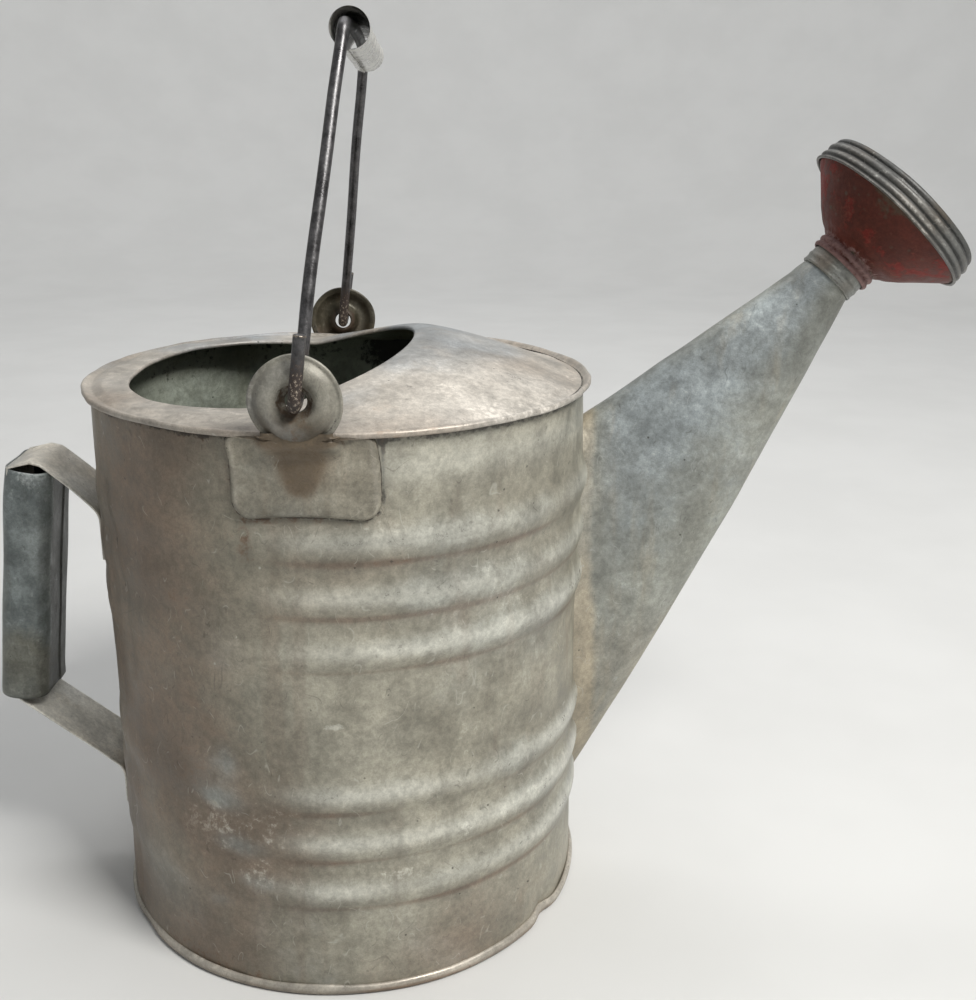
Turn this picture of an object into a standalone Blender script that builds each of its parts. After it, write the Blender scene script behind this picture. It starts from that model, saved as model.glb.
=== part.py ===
# Old galvanised watering can: beaded body, hooded top, tapering spout with a push-on rose,
# a swinging wire bail with a loose tube grip, and a strap handle with a sheet sleeve.
# X runs towards the spout, Y away from the near ear and Z up, in metres.
# The origin is on the body's axis, at the level of the floor.
import math

import bmesh
import bpy
import numpy as np
from mathutils import Vector

# General sheet-metal values
SHEET = 0.0008
GAP = 0.0003
ROUND_STEPS = 40
MERGE = 0.00001

# Body wall
WALL_RADIUS = 0.1139
WALL_TOP = 0.2555
BEAD_HEIGHT = 0.0011
BEAD_PITCH = 0.0233
BEAD_FOOT_SHARE = 0.48
BEAD_CREST_SHARE = 0.14
UPPER_BEAD_DROP = 0.0440
LOWER_BEAD_TOP = 0.0985
BEADS_IN_GROUP = 3
SEAM_ANGLE = math.radians(-157.0)
SEAM_SPAN = math.radians(4.5)
SEAM_RISE = 0.0007
SPOUT_WINDOW_WIDTH = 0.026
SPOUT_WINDOW_LOW = 0.070
SPOUT_WINDOW_HIGH = 0.205
SPOUT_WINDOW_DEPTH = 0.030

# Rolled rim at the top of the wall
RIM_OVERHANG = 0.0030
RIM_RISE = 0.0041

# Base plate, let into the foot and rolled round it
BASE_RECESS = 0.0025
BASE_CURL_HEIGHT = 0.0046
WALL_FOOT = SHEET + GAP

# Top cover: outer edge, mouth and raised hood
COVER_EDGE_DROP = 0.0024
COVER_SKIRT = 0.0072
COVER_EDGE_ROUND = 0.0010
MOUTH_MARGIN = 0.0164
MOUTH_HALF_LENGTH = 0.0656
MOUTH_HALF_WIDTH = 0.0779
MOUTH_SQUARENESS = 0.89
MOUTH_TAPER = -0.07
MOUTH_RISE = 0.0032
HOOD_RISE = 0.0172
HOOD_START_X = -0.0196
HOOD_CURVE = 1.14
MOUTH_BAND = 0.0110
HOOD_BULGE = 0.0012
HOOD_BULGE_REACH = 0.0600

# Ears
EAR_SHEET = 0.0010
EAR_ANGLE = math.radians(4.0)
EAR_PLATE_HALF_WIDTH = 0.0293
EAR_PLATE_HEIGHT = 0.0305
EAR_PLATE_DROP = 0.0003
EAR_PLATE_ARCH = 0.0018
EAR_CORNER = 0.0080
EAR_NECK_HALF_WIDTH = 0.0128
EAR_DISC_RADIUS = 0.0180
EAR_EYE_RADIUS = 0.0043
EAR_BELL_RADIUS = 0.0164
EAR_BELL_HEIGHT = 0.0042
EAR_BELL_STEP = 0.0002
EAR_EYE_CUT = 0.0150
EAR_BELL_PROFILE = ((0.0056, 0.20), (0.0074, 0.74), (0.0098, 1.0), (0.0124, 0.84), (0.0146, 0.38))
EAR_BELL_DIP = 0.14
EAR_BLANK_LEFT = -0.0310
EAR_BLANK_RIGHT = 0.0313
EAR_BLANK_UNDER = 0.0047
EAR_BLANK_MIDDLE = 0.0133
EAR_BLANK_OVER_EYE = 0.0210
EAR_RAMP = 0.0060
EAR_RAMP_OVERLAP = 0.0008
EAR_RAMP_FADE = 0.0040
NEAR_EYE_RISE = 0.0124
FAR_EYE_RISE = 0.0056

# Bail and its grip
BAIL_WIRE_RADIUS = 0.0025
BAIL_X = -0.0082
BAIL_ARM = 0.1418
BAIL_ARM_INSET = 0.0056
BAIL_TOP_HALF_WIDTH = 0.0685
BAIL_TOP_BEND = 0.0070
BAIL_CROWN = 0.0015
BAIL_HOOK_BEND = 0.0040
BAIL_HOOK_GAP = 0.0008
BAIL_EYE_GAP = 0.0006
BAIL_HOOK_LENGTH = 0.0275
BAIL_ARM_CURVE = 1.4
BAIL_REST_TILT = math.radians(7.4)
GRIP_RADIUS = 0.0082
GRIP_SHEET = 0.0006
GRIP_HALF_LENGTH = 0.0600
GRIP_HANG = math.radians(32.0)

# Rear handle: strap and sleeve
STRAP_WIDTH = 0.0360
STRAP_SHEET = 0.0012
STRAP_UPPER_TAB_LOW = 0.1720
STRAP_UPPER_TAB_HIGH = 0.1900
STRAP_LOWER_TAB_LOW = 0.0400
STRAP_LOWER_TAB_HIGH = 0.0540
STRAP_BEND = 0.0050
STRAP_RUN_TOP = 0.2110
STRAP_RUN_LOW = 0.1070
SLEEVE_DEPTH = 0.0208
SLEEVE_WIDTH = 0.0400
SLEEVE_CORNER = 0.0080
SLEEVE_LEAN = math.radians(7.0)
SLEEVE_REACH = 0.0451
SLEEVE_OUTER_Z = 0.2000
SLEEVE_TOP = 0.0085
SLEEVE_LENGTH = 0.1085
STRAP_IN_SLEEVE = 0.0050

# Spout
SPOUT_ROOT_TOP = 0.2364
SPOUT_ROOT_BOTTOM = 0.0420
SPOUT_ROOT_HALF_WIDTH = 0.0225
SPOUT_BODY_HALF_WIDTH = 0.0200
SPOUT_ROOT_FLARE = 0.08
SPOUT_KEEL = 0.35
SPOUT_BELLY = 0.0035
SPOUT_TIP_X = 0.2280
SPOUT_TIP_Z = 0.3032
SPOUT_TIP_RADIUS = 0.0130
SPOUT_TIP_RISE = math.radians(47.0)
SPOUT_TIP_TAIL = 0.0050
SPOUT_WALL_GAP = 0.0005
SPOUT_SIDES = 28
SPOUT_RINGS = (0.0, 0.04, 0.08, 0.25, 0.45, 0.65, 0.85, 1.0)

# Collar on the tip and the rose that is pushed over it
COLLAR_LENGTH = 0.0190
COLLAR_BAND = 0.0077
COLLAR_ROUND = 0.0002
ROSE_RADIUS = 0.0414
ROSE_CONE_START = 0.0145
ROSE_CONE_END = 0.0370
ROSE_FLANGE = 0.0024
ROSE_CONE_PROFILE = ((0.0393, 0.0347), (0.0326, 0.0285), (0.0256, 0.0220), (0.0205, 0.0178), (0.0170, 0.0155))
ROSE_NECK_RIDGE = 0.0008
ROSE_RING_DEPTH = 0.0125
ROSE_FACE_DOME = 0.0030
ROSE_HOLE_RADIUS = 0.0010
ROSE_HOLE_PITCH = 0.0105
ROSE_HOLE_RINGS = 3

# Derived values that several pieces share
WALL_INNER = WALL_RADIUS - SHEET
WALL_CREST = WALL_RADIUS + BEAD_HEIGHT
RIM_RADIUS = WALL_RADIUS + RIM_OVERHANG
RIM_TOP = WALL_TOP + RIM_RISE
UPPER_BEAD_TOP = WALL_TOP - UPPER_BEAD_DROP
COVER_EDGE_Z = RIM_TOP - COVER_EDGE_DROP
COVER_SKIRT_LOW = COVER_EDGE_Z - COVER_SKIRT
MOUTH_CENTRE_X = -(WALL_INNER - GAP - MOUTH_MARGIN - MOUTH_HALF_LENGTH)
MOUTH_Z = COVER_EDGE_Z + MOUTH_RISE
EAR_PLATE_HIGH = WALL_TOP - EAR_PLATE_DROP
EAR_PLATE_LOW = EAR_PLATE_HIGH - EAR_PLATE_HEIGHT
NEAR_EYE_Z = RIM_TOP + NEAR_EYE_RISE
FAR_EYE_Z = RIM_TOP + FAR_EYE_RISE
SLEEVE_OUTER_X = -(WALL_RADIUS + SLEEVE_REACH)
EAR_PLANE = RIM_RADIUS + 2.0 * GAP
BAIL_EYE_DROP = EAR_EYE_RADIUS - BAIL_WIRE_RADIUS - BAIL_EYE_GAP
BAIL_AXIS_Z = 0.5 * (NEAR_EYE_Z + FAR_EYE_Z) - BAIL_EYE_DROP
BAIL_ROLL = math.atan2(FAR_EYE_Z - NEAR_EYE_Z, 2.0 * EAR_PLANE)
COLLAR_INNER = SPOUT_TIP_RADIUS + GAP
COLLAR_OUTER = COLLAR_INNER + SHEET
ROSE_NECK_INNER = COLLAR_OUTER + GAP
ROSE_NECK_OUTER = ROSE_NECK_INNER + SHEET


# Scene and material helpers
def clear_scene():
    for obj in list(bpy.data.objects):
        bpy.data.objects.remove(obj, do_unlink=True)


def new_collection(name):
    collection = bpy.data.collections.new(name)
    bpy.context.scene.collection.children.link(collection)
    return collection


def metal(name, colour, roughness, metallic):
    mat = bpy.data.materials.new(name)
    mat.use_nodes = True
    shader = mat.node_tree.nodes["Principled BSDF"]
    shader.inputs["Base Color"].default_value = (*colour, 1.0)
    shader.inputs["Roughness"].default_value = roughness
    shader.inputs["Metallic"].default_value = metallic
    mat.diffuse_color = (*colour, 1.0)
    return mat


def add_object(name, mesh, mat=None, cutter=False):
    obj = bpy.data.objects.new(name, mesh)
    if cutter:
        CUTTERS.objects.link(obj)
        obj.hide_render = True
        obj.display_type = "WIRE"
    else:
        CAN.objects.link(obj)
        mesh.materials.append(mat)
    return obj


def add_empty(name, location):
    empty = bpy.data.objects.new(name, None)
    empty.empty_display_size = 0.02
    empty.location = location
    CAN.objects.link(empty)
    return empty


# Modelling helpers
def line_mesh(name, points, closed=False):
    mesh = bpy.data.meshes.new(name)
    edges = [(i, i + 1) for i in range(len(points) - 1)]
    if closed:
        edges.append((len(points) - 1, 0))
    mesh.from_pydata(points, edges, [])
    return mesh


def grid_mesh(name, rows, wrap):
    """A quad surface through equal rows of points; wrap closes each row into a ring."""
    mesh = bpy.data.meshes.new(name)
    count = len(rows[0])
    points = [p for row in rows for p in row]
    faces = []
    for j in range(len(rows) - 1):
        for i in range(count if wrap else count - 1):
            k = (i + 1) % count
            faces.append((j * count + i, j * count + k, (j + 1) * count + k, (j + 1) * count + i))
    mesh.from_pydata(points, [], faces)
    mesh.shade_smooth()
    mesh.set_sharp_from_angle(angle=math.radians(35.0))
    return mesh


def add_screw(obj, axis="Z", steps=ROUND_STEPS, angle=2.0 * math.pi):
    mod = obj.modifiers.new("Turn", "SCREW")
    mod.axis = axis
    mod.angle = angle
    mod.steps = steps
    mod.render_steps = steps
    mod.use_merge_vertices = True
    mod.merge_threshold = MERGE
    mod.use_smooth_shade = False
    return mod


def add_solidify(obj, thickness, offset=-1.0):
    mod = obj.modifiers.new("Sheet", "SOLIDIFY")
    mod.thickness = thickness
    mod.offset = offset
    mod.use_even_offset = True
    return mod


def add_boolean(obj, other, operation):
    mod = obj.modifiers.new(operation.title(), "BOOLEAN")
    mod.operation = operation
    mod.object = other
    mod.solver = "EXACT"
    return mod


def turned(name, outer_face, mat, sheet=SHEET, axis="Z", steps=ROUND_STEPS, cutter=False):
    """A turned sheet: its outer face runs from the top down, and the sheet lies inside it."""
    if axis == "Z":
        points = [(r, 0.0, h) for r, h in outer_face]
    else:
        points = [(r, h, 0.0) for r, h in outer_face]
    obj = add_object(name, line_mesh(name, points), mat, cutter)
    add_screw(obj, axis, steps)
    add_solidify(obj, sheet)
    return obj


def plate_prism(name, outline, depth):
    """A cutter: an outline in the XZ plane, given a depth along Y on both sides."""
    mesh = bpy.data.meshes.new(name)
    mesh.from_pydata([(x, 0.0, z) for x, z in outline], [], [tuple(range(len(outline)))])
    obj = add_object(name, mesh, cutter=True)
    add_solidify(obj, depth, 0.0)
    return obj


def cylinder_cutter(name, radius, depth, sides):
    mesh = bpy.data.meshes.new(name)
    bm = bmesh.new()
    bmesh.ops.create_cone(bm, cap_ends=True, segments=sides, radius1=radius, radius2=radius, depth=depth)
    bm.to_mesh(mesh)
    bm.free()
    return add_object(name, mesh, cutter=True)


def arc(centre, radius, start, end, count):
    """Points of a circular arc in a plane, from one angle to another, in degrees."""
    angles = np.radians(np.linspace(start, end, count))
    return [(centre[0] + radius * math.cos(a), centre[1] + radius * math.sin(a)) for a in angles]


def smooth(value, low, high):
    t = min(1.0, max(0.0, (value - low) / (high - low)))
    return t * t * (3.0 - 2.0 * t)


# Body wall
def bead_heights():
    """The height on the wall of each bead's crest."""
    upper = [UPPER_BEAD_TOP - i * BEAD_PITCH for i in range(BEADS_IN_GROUP)]
    lower = [LOWER_BEAD_TOP - i * BEAD_PITCH for i in range(BEADS_IN_GROUP)]
    return upper + lower


def wall_face(offset, foot=WALL_FOOT):
    """The wall's face from under the rim down to the foot, moved out by offset."""
    face = [(WALL_RADIUS + offset, WALL_TOP)]
    for z in bead_heights():
        face.append((WALL_RADIUS + offset, z + BEAD_FOOT_SHARE * BEAD_PITCH))
        face.append((WALL_CREST + offset, z + BEAD_CREST_SHARE * BEAD_PITCH))
        face.append((WALL_CREST + offset, z - BEAD_CREST_SHARE * BEAD_PITCH))
    face.append((WALL_RADIUS + offset, bead_heights()[-1] - BEAD_FOOT_SHARE * BEAD_PITCH))
    face.append((WALL_RADIUS + offset, foot))
    return face


def rim_section():
    """The rolled rim, from the wall's inner face over the top and down to its outer face."""
    roll = 0.5 * (RIM_RADIUS - WALL_RADIUS + SHEET)
    centre = (RIM_RADIUS - roll, RIM_TOP - roll)
    return arc(centre, roll, 170.0, -50.0, 7)


def make_body_wall(mat):
    outer = wall_face(0.0)
    inner = wall_face(-SHEET)[::-1]
    section = rim_section() + outer + inner
    mesh = line_mesh("body_wall", [(r, 0.0, z) for r, z in section], closed=True)
    wall = add_object("body_wall", mesh, mat)
    add_screw(wall)
    seam = make_side_seam()
    add_boolean(wall, seam, "UNION")
    height = SPOUT_WINDOW_HIGH - SPOUT_WINDOW_LOW
    half = 0.5 * SPOUT_WINDOW_WIDTH
    low = (0.0, SPOUT_WINDOW_LOW + half)
    high = (0.0, SPOUT_WINDOW_LOW + height - half)
    outline = arc(high, half, 0.0, 180.0, 7) + arc(low, half, 180.0, 360.0, 7)
    window = plate_prism("spout_window", outline, SPOUT_WINDOW_DEPTH)
    window.location = (WALL_RADIUS, 0.0, 0.0)
    window.rotation_euler = (0.0, 0.0, math.radians(90.0))
    add_boolean(wall, window, "DIFFERENCE")
    return wall


def make_side_seam():
    """The lapped edge of the wall's sheet, a strip that follows the beads."""
    foot = BASE_CURL_HEIGHT + SHEET
    outer = wall_face(SEAM_RISE, foot)
    inner = wall_face(-0.5 * SHEET, foot)[::-1]
    mesh = line_mesh("side_seam", [(r, 0.0, z) for r, z in outer + inner], closed=True)
    bm = bmesh.new()
    bm.from_mesh(mesh)
    bmesh.ops.contextual_create(bm, geom=bm.edges[:])
    bmesh.ops.spin(
        bm, geom=bm.faces[:], cent=(0.0, 0.0, 0.0), axis=(0.0, 0.0, 1.0),
        angle=SEAM_SPAN, steps=1, use_merge=False)
    bmesh.ops.recalc_face_normals(bm, faces=bm.faces[:])
    bm.to_mesh(mesh)
    bm.free()
    seam = add_object("side_seam", mesh, cutter=True)
    seam.rotation_euler = (0.0, 0.0, SEAM_ANGLE)
    return seam


def make_base_plate(mat):
    """A recessed disc whose edge goes down inside the wall, under it and up round its foot."""
    inside = WALL_INNER - GAP
    outside = WALL_RADIUS + GAP
    top = BASE_RECESS + SHEET
    section = [
        (0.0, top), (inside, top), (inside, SHEET), (outside, SHEET), (outside, BASE_CURL_HEIGHT),
        (outside + 0.5 * SHEET, BASE_CURL_HEIGHT + 0.4 * SHEET), (outside + SHEET, BASE_CURL_HEIGHT),
        (outside + SHEET, 0.5 * SHEET), (outside + 0.5 * SHEET, 0.0), (inside - 0.5 * SHEET, 0.0),
        (inside - SHEET, 0.5 * SHEET), (inside - SHEET, BASE_RECESS), (0.0, BASE_RECESS)]
    mesh = line_mesh("base_plate", [(r, 0.0, z) for r, z in section])
    base = add_object("base_plate", mesh, mat)
    add_screw(base)
    return base


# Top cover
def mouth_outline():
    """Plan angle about the body's axis and radius of the mouth's edge, all the way round."""
    t = np.linspace(-math.pi, math.pi, 721)
    x = MOUTH_CENTRE_X + MOUTH_HALF_LENGTH * np.cos(t)
    y = MOUTH_HALF_WIDTH * np.sign(np.sin(t)) * np.abs(np.sin(t)) ** MOUTH_SQUARENESS
    y = y * (1.0 + MOUTH_TAPER * np.cos(t))
    return np.arctan2(y, x), np.hypot(x, y)


def mouth_height(x):
    front = MOUTH_CENTRE_X + MOUTH_HALF_LENGTH
    t = min(1.0, max(0.0, (x - HOOD_START_X) / (front - HOOD_START_X)))
    return MOUTH_Z + HOOD_RISE * t ** HOOD_CURVE


def make_top_cover(mat):
    angles, radii = mouth_outline()
    order = np.argsort(angles)
    edge = WALL_INNER - GAP
    rows = [[] for _ in range(7)]
    for i in range(ROUND_STEPS):
        a = 2.0 * math.pi * i / ROUND_STEPS
        wrapped = math.atan2(math.sin(a), math.cos(a))
        mouth = float(np.interp(wrapped, angles[order], radii[order]))
        z = mouth_height(mouth * math.cos(a))
        band = mouth + MOUTH_BAND
        start = edge - COVER_EDGE_ROUND
        middle = 0.5 * (start + band)
        bulge = HOOD_BULGE * smooth(start - band, 0.0, HOOD_BULGE_REACH)
        section = [
            (edge, COVER_SKIRT_LOW), (edge, COVER_EDGE_Z - COVER_EDGE_ROUND), (start, COVER_EDGE_Z),
            (middle, 0.5 * (COVER_EDGE_Z + z) + bulge), (band, z), (0.5 * (band + mouth), z), (mouth, z)]
        for row, (r, h) in zip(rows, section):
            row.append((r * math.cos(a), r * math.sin(a), h))
    cover = add_object("top_cover", grid_mesh("top_cover", rows, wrap=True), mat)
    add_solidify(cover, SHEET)
    return cover


# Ears
def ear_outline(eye_z):
    """Plate, neck and disc of an ear, seen from outside."""
    w = EAR_PLATE_HALF_WIDTH
    c = EAR_CORNER
    low = EAR_PLATE_LOW
    high = EAR_PLATE_HIGH
    top_round = 0.5 * c
    side = arc((w - c, low + c), c, -80.0, 0.0, 5)
    side += arc((w - top_round, high - top_round), top_round, 0.0, 90.0, 4)
    neck_angle = math.degrees(math.asin(EAR_NECK_HALF_WIDTH / EAR_DISC_RADIUS))
    side.append((EAR_NECK_HALF_WIDTH, high))
    disc = arc((0.0, eye_z), EAR_DISC_RADIUS, neck_angle - 90.0, 270.0 - neck_angle, 21)
    if disc[0][1] <= high:
        disc = [p for p in disc if p[1] > high + 0.001]
    other = [(-x, z) for x, z in side[::-1]]
    arch = [(x, low + EAR_PLATE_ARCH * (1.0 - (x / (w - c)) ** 2)) for x in (-0.010, 0.0, 0.010)]
    return side + disc + other + arch


def ear_sheet(name, eye_z, mat):
    """A sheet that follows the wall and leans out at its neck to pass the rim."""
    across = np.linspace(EAR_BLANK_LEFT, EAR_BLANK_RIGHT, 14)
    ramp_top = eye_z - EAR_BELL_RADIUS + EAR_RAMP_OVERLAP
    heights = [
        EAR_PLATE_LOW - EAR_BLANK_UNDER, EAR_PLATE_LOW + EAR_BLANK_MIDDLE, ramp_top - EAR_RAMP,
        ramp_top - 0.5 * EAR_RAMP, ramp_top, eye_z + EAR_BLANK_OVER_EYE]
    rows = []
    for z in heights:
        row = []
        for x in across:
            wall = math.sqrt((WALL_RADIUS + GAP) ** 2 - x * x)
            lean = smooth(z, ramp_top - EAR_RAMP, ramp_top)
            lean *= 1.0 - smooth(abs(x), EAR_DISC_RADIUS, EAR_DISC_RADIUS + EAR_RAMP_FADE)
            row.append((x, -(wall + lean * (EAR_PLANE - wall)), z))
        rows.append(row)
    ear = add_object(name, grid_mesh(name, rows, wrap=False), mat)
    add_solidify(ear, EAR_SHEET, 1.0)
    return ear


def ear_bell(name, eye_z):
    """The stamped ring round the eye: flat band, raised crest and funnel down to the hole."""
    face = [(EAR_EYE_RADIUS, -EAR_BELL_DIP * EAR_BELL_HEIGHT)]
    face += [(r, share * EAR_BELL_HEIGHT) for r, share in EAR_BELL_PROFILE]
    face.append((EAR_BELL_RADIUS, EAR_SHEET + EAR_BELL_STEP))
    bell = turned(name, face, None, EAR_SHEET, axis="Y", steps=24, cutter=True)
    bell.rotation_euler = (0.0, 0.0, math.pi)
    bell.location = (0.0, -EAR_PLANE, eye_z)
    return bell


def make_ear(name, eye_z, turn, mat):
    ear = ear_sheet(name, eye_z, mat)
    outline = plate_prism(name + "_outline", ear_outline(eye_z), 0.06)
    outline.location = (0.0, -WALL_RADIUS, 0.0)
    eye = cylinder_cutter(name + "_eye", EAR_EYE_CUT, 0.02, 26)
    eye.location = (0.0, -EAR_PLANE, eye_z)
    eye.rotation_euler = (math.radians(90.0), 0.0, 0.0)
    bell = ear_bell(name + "_bell", eye_z)
    add_boolean(ear, outline, "INTERSECT")
    add_boolean(ear, eye, "DIFFERENCE")
    add_boolean(ear, bell, "UNION")
    holder = add_empty(name + "_seat", (0.0, 0.0, 0.0))
    holder.rotation_euler = (0.0, 0.0, turn)
    for piece in (ear, outline, eye, bell):
        piece.parent = holder
    return ear


# Bail
def bail_half():
    """Half of the bail wire in its own plane, from the hook's tip to the top, as (y, z)."""
    b = BAIL_HOOK_BEND
    hook = EAR_PLANE + EAR_BELL_HEIGHT + BAIL_HOOK_GAP + BAIL_WIRE_RADIUS
    arm = EAR_PLANE - BAIL_ARM_INSET
    points = [(hook, BAIL_HOOK_LENGTH), (hook, 0.5 * (BAIL_HOOK_LENGTH + b))]
    points += arc((hook - b, b), b, 0.0, -90.0, 5)
    points += arc((arm + b, b), b, 270.0, 180.0, 5)
    top = BAIL_TOP_BEND
    shoulder = BAIL_ARM - BAIL_CROWN
    spread = arm - BAIL_TOP_HALF_WIDTH
    for t in np.linspace(0.0, 1.0, 9)[1:]:
        z = b + t * (shoulder - top - b)
        points.append((arm - spread * t ** BAIL_ARM_CURVE, z))
    run = BAIL_TOP_HALF_WIDTH - top
    points += arc((run, shoulder - top), top, 15.0, 90.0, 5)
    for s in (0.75, 0.5, 0.25):
        points.append((run * s, BAIL_ARM + BAIL_CROWN * (1.0 - 2.0 * s * s)))
    return points


def make_bail_wire(pivot, mat):
    half = bail_half()
    path = [(0.0, -y, z) for y, z in half] + [(0.0, y, z) for y, z in half[::-1]]
    curve = bpy.data.curves.new("bail_wire", "CURVE")
    curve.dimensions = "3D"
    curve.bevel_depth = BAIL_WIRE_RADIUS
    curve.bevel_resolution = 2
    curve.use_fill_caps = True
    spline = curve.splines.new("POLY")
    spline.points.add(len(path) - 1)
    for point, place in zip(spline.points, path):
        point.co = (*place, 1.0)
    wire = add_object("bail_wire", curve, mat)
    wire.parent = pivot
    return wire


def make_bail_grip(pivot, mat):
    """A tube that hangs loose on the top of the wire, off its centre."""
    inner = GRIP_RADIUS - GRIP_SHEET
    hang = inner - BAIL_WIRE_RADIUS - GAP - BAIL_CROWN
    face = [(GRIP_RADIUS, GRIP_HALF_LENGTH), (GRIP_RADIUS, 0.0), (GRIP_RADIUS, -GRIP_HALF_LENGTH)]
    grip = turned("bail_grip", face, mat, GRIP_SHEET, axis="Y", steps=24)
    spin = add_empty("grip_pivot", (0.0, 0.0, BAIL_ARM))
    spin.parent = pivot
    grip.parent = spin
    grip.location = (hang * math.sin(GRIP_HANG), 0.0, -hang * math.cos(GRIP_HANG))
    return grip


# Rear handle
def sleeve_outer_x(z):
    return SLEEVE_OUTER_X - (SLEEVE_OUTER_Z - z) * math.tan(SLEEVE_LEAN)


def strap_path():
    """The strap's middle line as (x, z, share of the wall's curvature), top tab first."""
    tab = -(WALL_CREST + GAP + 0.5 * STRAP_SHEET)
    top_x = sleeve_outer_x(STRAP_RUN_TOP) + STRAP_IN_SLEEVE
    low_x = sleeve_outer_x(STRAP_RUN_LOW) + STRAP_IN_SLEEVE
    b = STRAP_BEND
    upper = STRAP_UPPER_TAB_HIGH
    lower = STRAP_LOWER_TAB_HIGH
    return [
        (tab, STRAP_UPPER_TAB_LOW, 1.0), (tab, upper, 1.0), (tab - 0.12 * b, upper + 0.90 * b, 0.9),
        (tab - 0.56 * b, upper + 1.68 * b, 0.6), (tab - 2.00 * b, upper + 3.24 * b, 0.2),
        (top_x + 3.22 * b, STRAP_RUN_TOP + 1.32 * b, 0.0), (top_x + 2.40 * b, STRAP_RUN_TOP + 1.72 * b, 0.0),
        (top_x + 0.92 * b, STRAP_RUN_TOP + 1.72 * b, 0.0), (top_x + 0.24 * b, STRAP_RUN_TOP + 1.10 * b, 0.0),
        (top_x, STRAP_RUN_TOP, 0.0), (low_x, STRAP_RUN_LOW, 0.0),
        (low_x + 0.04 * b, STRAP_RUN_LOW - 0.94 * b, 0.0),
        (low_x + 0.44 * b, STRAP_RUN_LOW - 1.48 * b, 0.0), (tab - 3.00 * b, lower + 3.62 * b, 0.2),
        (tab - 0.68 * b, lower + 1.64 * b, 0.7), (tab - 0.16 * b, lower + 0.90 * b, 0.9),
        (tab, lower, 1.0), (tab, STRAP_LOWER_TAB_LOW, 1.0)]


def make_handle_strap(mat):
    across = np.linspace(-0.5 * STRAP_WIDTH, 0.5 * STRAP_WIDTH, 5)
    rows = []
    for x, z, curved in strap_path():
        radius = WALL_CREST + GAP + 0.5 * STRAP_SHEET
        rows.append([(x + curved * (radius - math.sqrt(radius ** 2 - y * y)), y, z) for y in across])
    strap = add_object("handle_strap", grid_mesh("handle_strap", rows, wrap=False), mat)
    add_solidify(strap, STRAP_SHEET, 0.0)
    return strap


def rounded_rectangle(depth, width, corner):
    a = 0.5 * depth - corner
    b = 0.5 * width - corner
    points = []
    for cx, cy, start in ((a, b, 0.0), (-a, b, 90.0), (-a, -b, 180.0), (a, -b, 270.0)):
        points += arc((cx, cy), corner, start, start + 90.0, 5)
    return points


def make_handle_sleeve(mat):
    """An oval tube rolled round the strap's upright run, open at both ends."""
    section = rounded_rectangle(SLEEVE_DEPTH, SLEEVE_WIDTH, SLEEVE_CORNER)
    rows = [[(x, y, z) for x, y in section] for z in (0.0, -0.5 * SLEEVE_LENGTH, -SLEEVE_LENGTH)]
    sleeve = add_object("handle_sleeve", grid_mesh("handle_sleeve", rows, wrap=True), mat)
    add_solidify(sleeve, SHEET, 1.0)
    middle = 0.5 * SLEEVE_DEPTH
    top_z = SLEEVE_OUTER_Z + SLEEVE_TOP
    sleeve.location = (sleeve_outer_x(top_z) + middle, 0.0, top_z)
    sleeve.rotation_euler = (0.0, SLEEVE_LEAN, 0.0)
    return sleeve


# Spout
def tip_point(along, up):
    """A point in the plane of the spout, given from the middle of its tip."""
    c = math.cos(SPOUT_TIP_RISE)
    s = math.sin(SPOUT_TIP_RISE)
    return Vector((SPOUT_TIP_X + along * c - up * s, 0.0, SPOUT_TIP_Z + along * s + up * c))


def spout_section(t, sides):
    """One ring of the spout: tall with a keel at the wall, round at the tip."""
    root = WALL_CREST + SPOUT_WALL_GAP
    top = Vector((root, 0.0, SPOUT_ROOT_TOP)).lerp(tip_point(0.0, SPOUT_TIP_RADIUS), t)
    bottom = Vector((root, 0.0, SPOUT_ROOT_BOTTOM)).lerp(tip_point(0.0, -SPOUT_TIP_RADIUS), t)
    belly = SPOUT_BELLY * 4.0 * t * (1.0 - t)
    bottom += Vector((belly * 0.9, 0.0, -belly * 0.43))
    flare = (SPOUT_ROOT_HALF_WIDTH - SPOUT_BODY_HALF_WIDTH) * (1.0 - smooth(t, 0.0, SPOUT_ROOT_FLARE))
    half = SPOUT_BODY_HALF_WIDTH + t * (SPOUT_TIP_RADIUS - SPOUT_BODY_HALF_WIDTH) + flare
    ring = []
    for i in range(sides):
        a = 2.0 * math.pi * i / sides
        power = 1.0 + (1.0 - t) * (0.1 - SPOUT_KEEL * math.cos(a))
        y = -half * math.copysign(abs(math.sin(a)) ** power, math.sin(a))
        place = top.lerp(bottom, 0.5 * (1.0 - math.cos(a)))
        if t == 0.0:
            place.x = math.sqrt(root ** 2 - y * y)
        ring.append((place.x, y, place.z))
    return ring


def make_spout(mat):
    rows = [spout_section(t, SPOUT_SIDES) for t in SPOUT_RINGS]
    tail = tip_point(SPOUT_TIP_TAIL, 0.0) - tip_point(0.0, 0.0)
    rows.append([tuple(Vector(p) + tail) for p in rows[-1]])
    spout = add_object("spout", grid_mesh("spout", rows, wrap=True), mat)
    add_solidify(spout, SHEET)
    return spout


def on_tip(obj):
    """Sets a piece turned about Z on the axis of the spout's tip."""
    obj.location = tip_point(0.0, 0.0)
    obj.rotation_euler = (0.0, 0.5 * math.pi - SPOUT_TIP_RISE, 0.0)


def make_spout_collar(mat):
    face = [
        (COLLAR_OUTER - COLLAR_ROUND, COLLAR_LENGTH), (COLLAR_OUTER, COLLAR_LENGTH - 5.0 * COLLAR_ROUND),
        (COLLAR_OUTER, 0.0)]
    collar = turned("spout_collar", face, mat, steps=32)
    on_tip(collar)
    return collar


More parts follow.
